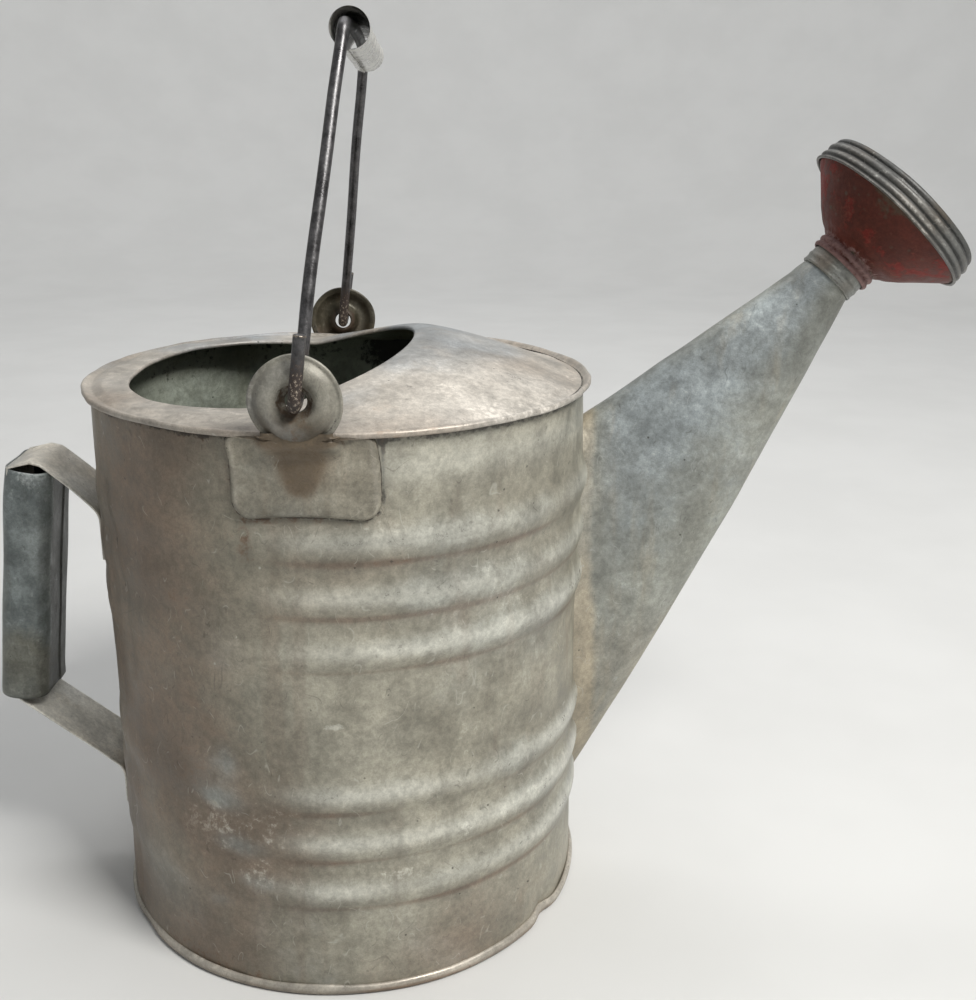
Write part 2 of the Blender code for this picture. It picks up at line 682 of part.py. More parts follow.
# Rose
def make_rose_cone(pivot, mat):
    """The funnel: a neck with two rolled ridges, a flaring cone and a short flange."""
    n = ROSE_NECK_OUTER
    ridge = n + ROSE_NECK_RIDGE
    start = COLLAR_BAND
    throat = ROSE_CONE_START
    end = ROSE_CONE_END
    face = [
        (ROSE_RADIUS, end + ROSE_FLANGE), (ROSE_RADIUS, end), *ROSE_CONE_PROFILE,
        (n, throat), (n, throat - 0.0006), (ridge, throat - 0.0014), (ridge, throat - 0.0024),
        (n, throat - 0.0032), (ridge, start + 0.0024), (ridge, start + 0.0010), (n, start)]
    cone = turned("rose_cone", face, mat, steps=32)
    cone.parent = pivot
    return cone


def rose_hole_places():
    places = [(0.0, 0.0)]
    for ring in range(1, ROSE_HOLE_RINGS + 1):
        for i in range(6 * ring):
            a = 2.0 * math.pi * (i + 0.5 * (ring % 2)) / (6 * ring)
            places.append((ring * ROSE_HOLE_PITCH * math.cos(a), ring * ROSE_HOLE_PITCH * math.sin(a)))
    return places


def make_rose_face(pivot, mat):
    """A ribbed ring closed over the cone's flange, in one with the domed, pierced plate."""
    inner = ROSE_RADIUS + GAP
    outer = inner + SHEET
    back = ROSE_CONE_END - 0.0008
    front = back + ROSE_RING_DEPTH
    face = [
        (0.0, front + ROSE_FACE_DOME), (0.45 * ROSE_RADIUS, front + 0.78 * ROSE_FACE_DOME),
        (ROSE_RADIUS - 0.0055, front + 0.0006), (ROSE_RADIUS - 0.0015, front), (ROSE_RADIUS - 0.0002, front - 0.0014),
        (ROSE_RADIUS - 0.0004, front - 0.0028), (outer - 0.0003, front - 0.0042),
        (outer, front - 0.0056), (outer - 0.0008, front - 0.0070), (outer + 0.0004, front - 0.0088),
        (outer, front - 0.0104), (outer + 0.0006, back + 0.0008), (outer, back)]
    plate = turned("rose_face", face, mat, steps=32)
    plate.parent = pivot
    mesh = bpy.data.meshes.new("rose_holes")
    bm = bmesh.new()
    for x, y in rose_hole_places():
        hole = bmesh.ops.create_cone(
            bm, cap_ends=True, segments=6, radius1=ROSE_HOLE_RADIUS, radius2=ROSE_HOLE_RADIUS, depth=0.010)
        bmesh.ops.translate(bm, verts=hole["verts"], vec=(x, y, front + 0.5 * ROSE_FACE_DOME))
    bm.to_mesh(mesh)
    bm.free()
    holes = add_object("rose_holes", mesh, cutter=True)
    holes.parent = pivot
    add_boolean(plate, holes, "DIFFERENCE")
    return plate


# Assembly
def build():
    galvanised = metal("galvanised_sheet", (0.42, 0.40, 0.36), 0.55, 0.6)
    make_body_wall(galvanised)
    make_base_plate(metal("base_sheet", (0.36, 0.34, 0.31), 0.60, 0.6))
    make_top_cover(metal("cover_sheet", (0.52, 0.48, 0.44), 0.50, 0.5))
    ear_metal = metal("ear_stamping", (0.34, 0.33, 0.30), 0.45, 0.7)
    make_ear("near_ear", NEAR_EYE_Z, -EAR_ANGLE, ear_metal)
    make_ear("far_ear", FAR_EYE_Z, math.pi + EAR_ANGLE, ear_metal)

    bail_pivot = add_empty("bail_pivot", (BAIL_X, 0.0, BAIL_AXIS_Z))
    bail_pivot.rotation_mode = "ZYX"
    bail_pivot.rotation_euler = (BAIL_ROLL, BAIL_REST_TILT, 0.0)
    make_bail_wire(bail_pivot, metal("bail_steel", (0.16, 0.15, 0.14), 0.45, 0.8))
    make_bail_grip(bail_pivot, metal("grip_tin", (0.55, 0.54, 0.50), 0.35, 0.8))

    make_handle_strap(metal("strap_steel", (0.28, 0.27, 0.25), 0.50, 0.7))
    make_handle_sleeve(metal("sleeve_zinc", (0.22, 0.25, 0.27), 0.45, 0.7))

    make_spout(metal("spout_sheet", (0.36, 0.37, 0.36), 0.50, 0.6))
    make_spout_collar(metal("collar_sheet", (0.33, 0.34, 0.32), 0.50, 0.6))
    rose_pivot = add_empty("rose_pivot", (0.0, 0.0, 0.0))
    on_tip(rose_pivot)
    make_rose_cone(rose_pivot, metal("rose_red_paint", (0.22, 0.06, 0.05), 0.55, 0.1))
    make_rose_face(rose_pivot, metal("rose_ring_metal", (0.30, 0.29, 0.27), 0.45, 0.7))


clear_scene()
CAN = new_collection("watering_can")
CUTTERS = new_collection("cutters")
build()
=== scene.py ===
import math

import bmesh
import bpy
import numpy as np
from mathutils import Matrix


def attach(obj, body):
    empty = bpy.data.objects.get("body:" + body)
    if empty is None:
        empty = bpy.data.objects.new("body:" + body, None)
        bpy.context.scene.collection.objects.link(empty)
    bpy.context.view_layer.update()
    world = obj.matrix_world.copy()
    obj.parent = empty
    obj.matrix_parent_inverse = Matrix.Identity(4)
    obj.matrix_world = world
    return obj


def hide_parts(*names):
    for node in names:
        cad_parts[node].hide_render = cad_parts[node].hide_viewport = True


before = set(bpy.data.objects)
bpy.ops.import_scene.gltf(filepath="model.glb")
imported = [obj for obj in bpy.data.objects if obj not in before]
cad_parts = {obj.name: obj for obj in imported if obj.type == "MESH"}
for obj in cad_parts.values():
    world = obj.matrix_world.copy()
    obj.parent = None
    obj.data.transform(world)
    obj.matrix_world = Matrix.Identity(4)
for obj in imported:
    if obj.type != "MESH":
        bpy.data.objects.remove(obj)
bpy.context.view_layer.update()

# Sizes that the frame has
MM = 0.001
SHEET = 0.0008
GAP = 0.0003
WALL_RADIUS = 0.1139
WALL_EDGE = 0.2574
BEAD_HEIGHT = 0.0024
BEAD_PITCH = 0.0236
BEADS = np.array([top - i * BEAD_PITCH for top in (0.2130, 0.0993) for i in range(3)])
SEAM_ANGLE = -157.0
SEAM_SPAN = 4.5
MOUTH_X = -0.0308
MOUTH_HALF_LENGTH = 0.0656
MOUTH_HALF_WIDTH = 0.0779
MOUTH_Z = 0.2604
HOOD_RISE = 0.0172
HOOD_START_X = -0.0196
EAR_PLANE = 0.1175
EAR_TURN = 4.0
EAR_MIDDLE = 90.0 + EAR_TURN
PLATE_MIDDLE = -93.2
PLATE_SHIFT = 0.0014
PLATE_LOW = 0.2236
PLATE_HALF = 0.0296
PLATE_CORNER = 0.0080
PLATE_SHOULDER = 0.004
PLATE_ARCH = 0.0018
PLATE_ARCH_HALF = 0.0213
NECK_HALF = 0.0138
NEAR_EYE_Z = 0.2720
FAR_EYE_Z = 0.2652
BAIL_X = -0.0082
BAIL_AXIS_Z = 0.2674
BAIL_ARM = 0.1418
BAIL_CROWN = 0.0015
BAIL_TILT = math.radians(7.4)
BAIL_ROLL = math.atan2(FAR_EYE_Z - NEAR_EYE_Z, 2.0 * EAR_PLANE)
WIRE = 0.0025
STRAP_THICK = 0.0006
STRAP_RADIUS = WALL_RADIUS + 0.0011 + GAP + STRAP_THICK
SLEEVE_TILT = math.radians(7.0)
SLEEVE_TOP_Z = 0.2160
SPOUT_TOP_Z = 0.2364
SPOUT_LOW_Z = 0.0420
SPOUT_HALF = 0.0200
TIP = np.array([0.2280, 0.0, 0.3032])
TIP_RISE = math.radians(47.0)
TIP_RADIUS = 0.0130
ROSE_RADIUS = 0.0414

# Places on the wall, in degrees and millimetres
DEGREE_MM = math.radians(1.0) * WALL_RADIUS / MM
FOOT_DENT = -33.6
LONG_CREASE = ((-151.0, 222.0), (-146.0, 196.0), (-143.5, 176.0), (-142.4, 138.0))

# The photograph's camera, in pixels, metres and degrees
IMAGE_WIDTH, IMAGE_HEIGHT = 976.0, 1000.0
FOCAL_LENGTH = 1157.4
LENS_AXIS = (486.86, 497.6)
CAMERA_PLACE = (0.04435, -0.54246, 0.37032)
CAMERA_YAW, CAMERA_PITCH, CAMERA_ROLL = -2.60, 17.77, 0.45


# Number helpers
def smooth(value, low, high):
    """Rises softly from 0 at low to 1 at high."""
    t = np.clip((value - low) / (high - low), 0.0, 1.0)
    return t * t * (3.0 - 2.0 * t)


def fade(value, low, high):
    """Falls softly from 1 at low to 0 at high."""
    return 1.0 - smooth(value, low, high)


def between(value, low, full, leave, high):
    """Rises to 1 at full and falls again from leave on."""
    return smooth(value, low, full) * fade(value, leave, high)


def bell(value, centre, width):
    return np.exp(-((value - centre) / width) ** 2)


def unit(vectors):
    return vectors / np.linalg.norm(vectors, axis=-1, keepdims=True)


def across(points):
    """Distance from the Z axis."""
    return np.hypot(points[..., 0], points[..., 1])


def degrees_of(points):
    return np.degrees(np.arctan2(points[..., 1], points[..., 0]))


def polar(radius, angle, height):
    """Points from their distance from the Z axis, their angle and their height."""
    return np.stack(np.broadcast_arrays(radius * np.cos(angle), radius * np.sin(angle), height), axis=-1)


def turn(profile, count):
    """Rows of points from a profile of radius and height turned about Z."""
    profile = np.asarray(profile, float)
    return polar(profile[:, :1], np.linspace(0.0, 2.0 * math.pi, count, endpoint=False), profile[:, 1:])


def field(points, size, seed, waves=22):
    """A smooth random value at each point, mostly from -1 to 1, that changes over that size."""
    rng = np.random.default_rng(seed)
    directions = rng.normal(size=(waves, 3)) / size
    phases = rng.uniform(0.0, 2.0 * math.pi, waves)
    return np.sin(points @ directions.T + phases).sum(axis=-1) * math.sqrt(1.2 / waves)


def turned(angle, centre):
    """Degrees from that centre, the short way round."""
    return (angle - centre + 180.0) % 360.0 - 180.0


def spots(angle, height, table):
    """The sum of soft oval patches on the wall: strength, place in degrees and millimetres, and half sizes."""
    total = 0.0
    for strength, at_angle, at_height, wide, tall in table:
        sideways = turned(angle, at_angle) * DEGREE_MM / wide
        total = total + strength * np.exp(-sideways ** 2 - ((height - at_height) / tall) ** 2)
    return total


def stroke(angle, height, points, width):
    """A soft line on the wall through points of degrees and millimetres."""
    best = np.full(angle.shape, np.inf)
    for (a0, z0), (a1, z1) in zip(points, points[1:]):
        dx, dz = (a1 - a0) * DEGREE_MM, z1 - z0
        px, pz = turned(angle, a0) * DEGREE_MM, height - z0
        t = np.clip((px * dx + pz * dz) / (dx * dx + dz * dz), 0.0, 1.0)
        best = np.minimum(best, np.hypot(px - t * dx, pz - t * dz))
    return bell(best, 0.0, width)


def even_steps(points, count, endpoint=True):
    """That many points at equal steps along a line of points."""
    length = np.concatenate([[0.0], np.cumsum(np.linalg.norm(np.diff(points, axis=0), axis=1))])
    even = np.linspace(0.0, length[-1], count, endpoint=endpoint)
    return np.stack([np.interp(even, length, values) for values in points.T], axis=1)


def rounded(points, count):
    """A smooth curve through points, as that many points at equal steps."""
    p = np.asarray(points, float)
    p = np.vstack([2.0 * p[0] - p[1], p, 2.0 * p[-1] - p[-2]])
    t = np.linspace(0.0, 1.0, 24, endpoint=False)[:, None]
    out = [0.5 * (2 * b + (c - a) * t + (2 * a - 5 * b + 4 * c - d) * t ** 2 + (3 * b - a - 3 * c + d) * t ** 3)
           for a, b, c, d in zip(p, p[1:], p[2:], p[3:])]
    return even_steps(np.vstack([*out, p[-2:-1]]), count)


def place(rows, matrix):
    m = np.array(matrix)
    return rows @ m[:3, :3].T + m[:3, 3]


def tube(path, radius, sides):
    """Rows of rings along a path, with the ends cut square."""
    tangent = unit(np.gradient(path, axis=0))
    normal = np.cross(tangent[0], [1.0, 0.0, 0.0])
    a = np.linspace(0.0, 2.0 * math.pi, sides, endpoint=False)[:, None]
    rings = []
    for t in tangent:
        normal = unit(normal - t * np.dot(normal, t))
        rings.append(radius * (np.cos(a) * normal + np.sin(a) * np.cross(t, normal)))
    rings = np.array(rings)
    cut = ((0.16, 0.0), (0.16, 0.80), (0.08, 0.96))
    start = [path[0] - tangent[0] * radius * out + share * rings[0] for out, share in cut]
    end = [path[-1] + tangent[-1] * radius * out + share * rings[-1] for out, share in cut[::-1]]
    return np.concatenate([start, path[:, None, :] + rings, end])


# Mesh helpers
def add_object(name, data):
    obj = bpy.data.objects.new(name, data)
    bpy.context.scene.collection.objects.link(obj)
    return obj


def grid_mesh(name, rows, mats):
    """A smooth mesh through rows of points that close round."""
    count_rows, count, _ = rows.shape
    j, i = np.meshgrid(np.arange(count_rows - 1) * count, np.arange(count), indexing="ij")
    k = (i + 1) % count
    faces = np.stack([j + i, j + k, j + count + k, j + count + i], axis=-1)
    mesh = bpy.data.meshes.new(name)
    mesh.from_pydata(rows.reshape(-1, 3), [], faces.reshape(-1, 4).tolist())
    for mat in mats:
        mesh.materials.append(mat)
    return mesh


def surface(name, rows, mats, body, node, marks, inside_rows=None, closed=True):
    """A skin through equal rows of points; marks are values that its material reads at each point."""
    mesh = grid_mesh(name, rows, mats)
    for key, value in marks.items():
        layer = mesh.attributes.new(key, "FLOAT", "POINT")
        layer.data.foreach_set("value", np.broadcast_to(np.asarray(value, np.float32), rows.shape[:2]).reshape(-1))
    if inside_rows is not None:
        mesh.polygons.foreach_set("material_index", np.repeat(inside_rows, rows.shape[1]).astype(np.int32))
    bm = bmesh.new()
    bm.from_mesh(mesh)
    bmesh.ops.remove_doubles(bm, verts=bm.verts[:], dist=1e-6)
    if closed:
        bmesh.ops.recalc_face_normals(bm, faces=bm.faces[:])
    bm.to_mesh(mesh)
    bm.free()
    mesh.shade_smooth()
    obj = add_object(name, mesh)
    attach(obj, body)
    if node:
        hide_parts(node)
    return obj


# Material helpers
class Graph:
    """A material's node tree with short calls for the nodes that are used here."""

    def __init__(self, name):
        self.mat = bpy.data.materials.new(name)
        self.mat.use_nodes = True
        self.tree = self.mat.node_tree
        self.shader = self.tree.nodes["Principled BSDF"]
        self.place = self.tree.nodes.new("ShaderNodeTexCoord").outputs["Object"]

    def put(self, socket, value):
        if hasattr(value, "is_linked"):
            self.tree.links.new(value, socket)
        elif isinstance(value, (tuple, list)) and len(value) == 3 and len(socket.default_value) == 4:
            socket.default_value = (*value, 1.0)
        else:
            socket.default_value = value

    def node(self, kind, **inputs):
        """A new node; inputs are named as on the node, with _ for a space."""
        node = self.tree.nodes.new("ShaderNode" + kind)
        for key, value in inputs.items():
            self.put(node.inputs[key.replace("_", " ")], value)
        return node

    def stretched(self, scale, turn_by=(0.0, 0.0, 0.0)):
        return self.node("Mapping", Vector=self.place, Scale=scale, Rotation=turn_by).outputs["Vector"]

    def noise(self, scale, detail=4.0, rough=0.6, vector=None, distortion=0.0):
        return self.node("TexNoise", Vector=vector or self.place, Scale=scale, Detail=detail, Roughness=rough,
                         Distortion=distortion).outputs["Fac"]

    def cells(self, scale, output="Distance", vector=None):
        return self.node("TexVoronoi", Vector=vector or self.place, Scale=scale).outputs[output]

    def mark(self, name):
        node = self.node("Attribute")
        node.attribute_name = name
        return node.outputs["Fac"]

    def calc(self, operation, a, b):
        node = self.node("Math")
        node.operation = operation
        self.put(node.inputs[0], a)
        self.put(node.inputs[1], b)
        return node.outputs[0]

    def plus(self, a, b):
        return self.calc("ADD", a, b)

    def minus(self, a, b):
        return self.calc("SUBTRACT", a, b)

    def times(self, a, b):
        return self.calc("MULTIPLY", a, b)

    def blend(self, a, share_a, b, share_b):
        return self.plus(self.times(a, share_a), self.times(b, share_b))

    def step(self, value, low, high, to_low=0.0, to_high=1.0):
        node = self.node("MapRange", Value=value, From_Min=low, From_Max=high, To_Min=to_low, To_Max=to_high)
        node.interpolation_type = "SMOOTHSTEP"
        return node.outputs["Result"]

    def mix(self, share, a, b, blend="MIX"):
        node = self.node("Mix", Factor=share)
        node.data_type = "RGBA"
        node.blend_type = blend
        self.put(node.inputs[6], a)
        self.put(node.inputs[7], b)
        return node.outputs[2]

    def coat(self, colour, share, strength, paint):
        """The colour with that paint over it, as strong as share times strength."""
        return self.mix(self.times(share, strength), colour, paint)

    def tint(self, colour, value, low, high, darker, lighter):
        """The colour made darker where the value is low and lighter where it is high."""
        return self.mix(1.0, colour, self.step(value, low, high, darker, lighter), "MULTIPLY")

    def ragged(self, name, grain, reach, low, high):
        """A painted mark whose edge is broken up by a grain."""
        return self.step(self.plus(self.mark(name), self.times(self.minus(grain, 0.5), reach)), low, high)

    def scratches(self, scale, width, turn_by, share):
        """Thin winding lines, left only where a second noise is above that share."""
        winding = self.noise(scale, 1.0, 0.5, self.stretched((1.0, 1.0, 0.55), turn_by), 0.25)
        thin = self.step(self.calc("ABSOLUTE", self.minus(winding, 0.5), 0.0), 0.0, width, 1.0, 0.0)
        return self.times(thin, self.step(self.noise(1.5 * scale, 1.0), share, share + 0.09))

    def finish(self, colour, roughness, metallic, height=None, strength=0.0, distance=0.0):
        for key, value in (("Base Color", colour), ("Roughness", roughness), ("Metallic", metallic)):
            self.put(self.shader.inputs[key], value)
        if height is not None:
            bump = self.node("Bump", Strength=strength, Distance=distance, Height=height)
            self.put(self.shader.inputs["Normal"], bump.outputs["Normal"])
        return self.mat


def old_zinc(name, base, second, warm, cool, pale, dark, rust, rough=(0.40, 0.60), metallic=0.30,
             spangle=0.025, scale=1.0):
    """Weathered galvanised sheet: mottled greys, pale oxide, brown stain, specks, hair scratches and a painted sheen.
    """
    g = Graph(name)
    middle = g.noise(62.0 * scale, 4.0, 0.68)
    fine = g.noise(340.0 * scale, 3.0, 0.70)
    flecks = g.blend(middle, 0.5, fine, 0.5)
    # Broad tones and stains
    broad = g.blend(g.noise(13.0 * scale, 3.0, 0.62), 0.7, middle, 0.3)
    colour = g.mix(g.step(broad, 0.38, 0.62), base, second)
    colour = g.mix(g.ragged("warm", middle, 0.7, 0.15, 0.95), colour, warm)
    colour = g.mix(g.ragged("cool", middle, 0.7, 0.15, 0.90), colour, cool)
    streaks = g.noise(75.0 * scale, 3.0, 0.65, g.stretched((1.0, 1.0, 0.13)))
    colour = g.coat(colour, g.step(streaks, 0.52, 0.72), 0.35, warm)
    oxide = g.ragged("pale", flecks, 2.6, 0.38, 0.78)
    brown = g.ragged("rust", flecks, 2.2, 0.35, 0.80)
    colour = g.coat(colour, oxide, 0.52, pale)
    colour = g.coat(colour, g.ragged("dark", flecks, 2.4, 0.40, 0.80), 0.96, dark)
    colour = g.coat(colour, brown, 0.85, rust)
    # Painted highlight: the sheen mark lightens the colour towards pale where light catches the sheet; on a few parts
    # it also marks rubbed metal.
    colour = g.coat(colour, g.mark("wear_and_painted_sheen"), 0.78, pale)
    # Mottling at every size, and the zinc's crystals
    colour = g.tint(colour, g.noise(24.0 * scale, 3.0, 0.62), 0.34, 0.66, 0.84, 1.12)
    colour = g.tint(colour, middle, 0.32, 0.68, 0.82, 1.14)
    colour = g.tint(colour, fine, 0.30, 0.70, 0.84, 1.13)
    colour = g.tint(colour, g.noise(1500.0, 1.0, 0.6), 0.30, 0.70, 0.93, 1.06)
    colour = g.tint(colour, g.cells(95.0 * scale, "Color"), 0.1, 0.9, 1.0 - spangle, 1.0 + spangle)
    # Scratches, pits and chips
    for size, width, turn_by, share, strength, paint in (
            (34.0, 0.0026, (0.5, 0.3, 0.2), 0.58, 0.32, dark), (120.0, 0.0110, (0.9, 0.2, 1.1), 0.58, 0.38, dark),
            (95.0, 0.0110, (0.1, 1.2, 0.6), 0.55, 0.30, pale)):
        colour = g.coat(colour, g.scratches(size * scale, width, turn_by, share), strength, paint)
    pits = g.step(g.cells(150.0 * scale), 0.05, 0.10, 1.0, 0.0)
    pits = g.times(pits, g.step(g.noise(90.0 * scale, 1.0), 0.56, 0.62))
    colour = g.coat(colour, pits, 0.7, dark)
    chips = g.cells(120.0 * scale, "Distance", g.stretched((1.0, 1.3, 0.9), (0.4, 0.7, 0.1)))
    patches = g.noise(70.0 * scale, 1.0, 0.5, g.stretched((1.2, 1.0, 1.0)))
    chips = g.times(g.step(chips, 0.04, 0.11, 1.0, 0.0), g.step(patches, 0.60, 0.68))
    colour = g.coat(colour, chips, 0.6, pale)
    roughness = g.step(g.blend(middle, 0.6, fine, 0.4), 0.35, 0.65, *rough)
    roughness = g.plus(roughness, g.times(g.plus(oxide, brown), 0.12))
    roughness = g.minus(roughness, g.times(g.mark("wear_and_painted_sheen"), 0.16))
    covered = g.calc("MAXIMUM", brown, g.times(oxide, 0.6))
    height = g.plus(g.blend(middle, 0.9, fine, 0.26), g.times(oxide, 0.10))
    height = g.minus(height, g.times(pits, 0.30))
    return g.finish(colour, roughness, g.times(g.minus(1.0, covered), metallic), height, 0.35, 0.0011)


# Materials
DARK = (0.040, 0.034, 0.028)
RUST = (0.115, 0.066, 0.038)
BODY = old_zinc(
    "body_zinc", (0.272, 0.254, 0.200), (0.326, 0.309, 0.250), (0.196, 0.150, 0.112), (0.290, 0.305, 0.285),
    (0.590, 0.585, 0.520), DARK, RUST)
# Its near-black dark colour is used for the painted shade inside the can.
INSIDE = old_zinc(
    "inside_zinc", (0.295, 0.320, 0.262), (0.360, 0.388, 0.325), (0.185, 0.180, 0.125), (0.365, 0.410, 0.375),
    (0.480, 0.505, 0.440), (0.003, 0.003, 0.003), (0.110, 0.090, 0.050), metallic=0.15)
COVER = old_zinc(
    "cover_zinc", (0.385, 0.352, 0.306), (0.450, 0.415, 0.366), (0.310, 0.264, 0.218), (0.275, 0.290, 0.300),
    (0.660, 0.620, 0.560), DARK, (0.170, 0.105, 0.062), rough=(0.36, 0.56))
BASE = old_zinc(
    "base_zinc", (0.285, 0.250, 0.205), (0.350, 0.318, 0.270), (0.205, 0.150, 0.105), (0.300, 0.300, 0.280),
    (0.520, 0.490, 0.430), DARK, (0.095, 0.052, 0.030))
NEAR_EAR = old_zinc(
    "near_ear_steel", (0.235, 0.215, 0.168), (0.290, 0.270, 0.218), (0.180, 0.140, 0.098), (0.270, 0.270, 0.240),
    (0.460, 0.430, 0.370), DARK, (0.098, 0.072, 0.044), scale=1.4)
NEAR_DISC = old_zinc(
    "near_disc_steel", (0.300, 0.286, 0.240), (0.395, 0.378, 0.328), (0.090, 0.072, 0.049), (0.240, 0.245, 0.235),
    (0.430, 0.420, 0.385), (0.022, 0.019, 0.015), (0.075, 0.048, 0.028), rough=(0.44, 0.62), metallic=0.22, scale=1.4)
# Painted shade: the far ear gets a much darker copy of the ear steel, standing in for the shade it sits in.
FAR_EAR_SHADED = old_zinc(
    "far_ear_shaded_steel", (0.055, 0.048, 0.030), (0.090, 0.080, 0.056), (0.060, 0.044, 0.026), (0.110, 0.108, 0.090),
    (0.230, 0.220, 0.185), (0.016, 0.013, 0.010), (0.050, 0.032, 0.020), rough=(0.34, 0.52), metallic=0.40, scale=1.4)
# Painted light: the strap's colours are much lighter than the body's, standing in for light on its shaded face.
STRAP = old_zinc(
    "strap_steel", (0.590, 0.566, 0.505), (0.690, 0.666, 0.600), (0.470, 0.410, 0.330), (0.590, 0.600, 0.588),
    (0.680, 0.665, 0.610), DARK, RUST, scale=1.3)
SLEEVE = old_zinc(
    "sleeve_zinc", (0.080, 0.100, 0.102), (0.165, 0.194, 0.192), (0.062, 0.056, 0.028), (0.210, 0.240, 0.238),
    (0.380, 0.400, 0.390), (0.010, 0.010, 0.010), (0.060, 0.048, 0.028), spangle=0.10, metallic=0.45, scale=1.8)
SPOUT = old_zinc(
    "spout_zinc", (0.246, 0.254, 0.228), (0.300, 0.302, 0.262), (0.360, 0.315, 0.235), (0.264, 0.304, 0.322),
    (0.470, 0.485, 0.465), DARK, (0.165, 0.108, 0.074))
COLLAR = old_zinc(
    "collar_zinc", (0.175, 0.180, 0.160), (0.230, 0.230, 0.208), (0.140, 0.110, 0.080), (0.220, 0.240, 0.235),
    (0.400, 0.395, 0.365), (0.026, 0.022, 0.018), (0.075, 0.046, 0.028), scale=1.6)
RING = old_zinc(
    "ring_zinc", (0.052, 0.052, 0.050), (0.088, 0.087, 0.082), (0.075, 0.060, 0.044), (0.105, 0.110, 0.108),
    (0.400, 0.390, 0.365), (0.012, 0.012, 0.011), (0.065, 0.042, 0.028), rough=(0.42, 0.58), metallic=0.25, scale=1.6)


def wire_steel():
    """Bare dark wire, browned at its hooks and rubbed bright in places."""
    g = Graph("wire_steel")
    middle = g.noise(160.0, 5.0, 0.65)
    fine = g.noise(900.0, 4.0, 0.7)
    colour = g.mix(g.step(middle, 0.35, 0.65), (0.072, 0.070, 0.072), (0.130, 0.127, 0.130))
    brown = g.ragged("rust", fine, 1.4, 0.30, 0.75)
    colour = g.coat(colour, brown, 0.95, (0.030, 0.018, 0.013))
    colour = g.coat(colour, g.ragged("pale", fine, 1.9, 0.40, 0.66), 0.7, (0.34, 0.29, 0.23))
    colour = g.tint(colour, fine, 0.3, 0.7, 0.75, 1.25)
    roughness = g.plus(g.step(middle, 0.3, 0.7, 0.26, 0.46), g.times(brown, 0.22))
    height = g.plus(middle, g.times(fine, 0.6))
    return g.finish(colour, roughness, g.times(g.minus(1.0, brown), 0.85), height, 0.35, 0.0004)


def grip_tin():
    """Thin tinplate with lines along the tube and dark stains."""
    g = Graph("grip_tin")
    middle = g.noise(110.0, 5.0, 0.65)
    fine = g.noise(700.0, 4.0, 0.7)
    along = g.noise(240.0, 3.0, 0.6, g.stretched((1.0, 0.12, 1.0)))
    colour = g.mix(g.step(middle, 0.35, 0.65), (0.46, 0.45, 0.42), (0.66, 0.65, 0.61))
    colour = g.coat(colour, g.step(along, 0.52, 0.70), 0.5, (0.27, 0.25, 0.22))
    stain = g.ragged("dark", fine, 1.4, 0.35, 0.80)
    colour = g.mix(stain, colour, (0.055, 0.048, 0.042))
    roughness = g.plus(g.step(middle, 0.3, 0.7, 0.20, 0.40), g.times(stain, 0.25))
    return g.finish(colour, roughness, 0.45, g.plus(middle, g.times(fine, 0.4)), 0.30, 0.0005)


def rose_paint():
    """Old dull red paint: brighter where fresh, chalky, dirty and worn through at the pleats."""
    g = Graph("rose_paint")
    middle = g.noise(120.0, 6.0, 0.68)
    fine = g.noise(520.0, 5.0, 0.7)
    colour = g.mix(g.step(g.noise(32.0, 5.0, 0.65), 0.40, 0.60), (0.080, 0.020, 0.013), (0.112, 0.026, 0.017))
    colour = g.coat(colour, g.ragged("fresh", middle, 2.6, 0.40, 0.66), 0.9, (0.190, 0.022, 0.016))
    chalk = g.step(g.blend(middle, 0.6, fine, 0.4), 0.53, 0.66)
    colour = g.coat(colour, chalk, 0.35, (0.120, 0.056, 0.042))
    colour = g.coat(colour, g.ragged("dirt", middle, 1.8, 0.42, 0.72), 0.8, (0.080, 0.060, 0.040))
    specks = g.times(g.step(g.cells(230.0), 0.14, 0.30, 1.0, 0.0), g.step(g.noise(60.0, 2.0), 0.50, 0.62))
    colour = g.coat(colour, specks, 0.7, (0.085, 0.066, 0.050))
    worn = g.ragged("pale", fine, 1.4, 0.42, 0.86)
    colour = g.coat(colour, worn, 0.55, (0.300, 0.205, 0.195))
    colour = g.tint(colour, fine, 0.3, 0.7, 0.82, 1.16)
    height = g.minus(g.plus(middle, g.times(fine, 0.5)), g.times(worn, 0.4))
    g.put(g.shader.inputs["Specular IOR Level"], 0.20)
    return g.finish(colour, g.step(middle, 0.35, 0.65, 0.46, 0.66), 0.0, height, 0.30, 0.0007)


def plain_floor():
    g = Graph("pale_floor")
    colour = g.mix(g.step(g.noise(6.0, 3.0), 0.3, 0.7), (0.64, 0.64, 0.63), (0.67, 0.67, 0.66))
    return g.finish(colour, 0.75, 0.0)


WIRE_STEEL = wire_steel()
GRIP_TIN = grip_tin()
ROSE_PAINT = rose_paint()


# Body wall with its beads, thin upper edge, seam and dents
def bead_offset(z):
    """From 0 between the beads to 1 on their crests."""
    d = (z[..., None] - BEADS) / (0.5 * BEAD_PITCH)
    return np.where(np.abs(d) < 1.0, 0.5 + 0.5 * np.cos(math.pi * d), 0.0).sum(axis=-1)


def wall_dents(angle, height, points):
    """How far the wall is pushed out (+) or in (-), in metres."""
    out = 0.00042 * field(points, 0.030, 3) + 0.00022 * field(points, 0.012, 4)
    out += MM * spots(angle, height, (
        (-1.0, -88.7, 132.3, 6.0, 2.6), (0.4, -88.7, 127.5, 8.0, 3.0), (-0.9, -113.9, 114.8, 11.0, 13.0),
        (-0.9, -108.9, 170.7, 2.6, 2.6), (-0.9, 62.0, 140.0, 14.0, 18.0), (-0.7, 138.0, 90.0, 12.0, 12.0),
        (-0.6, -28.0, 228.0, 8.0, 14.0), (-2.6, FOOT_DENT, 2.0, 7.0, 11.0)))
    out -= 0.0008 * stroke(angle, height, LONG_CREASE, 2.4)
    return out - 0.0005 * stroke(angle, height, ((-105.4, 217.0), (-105.8, 205.0), (-104.8, 189.0)), 1.6)


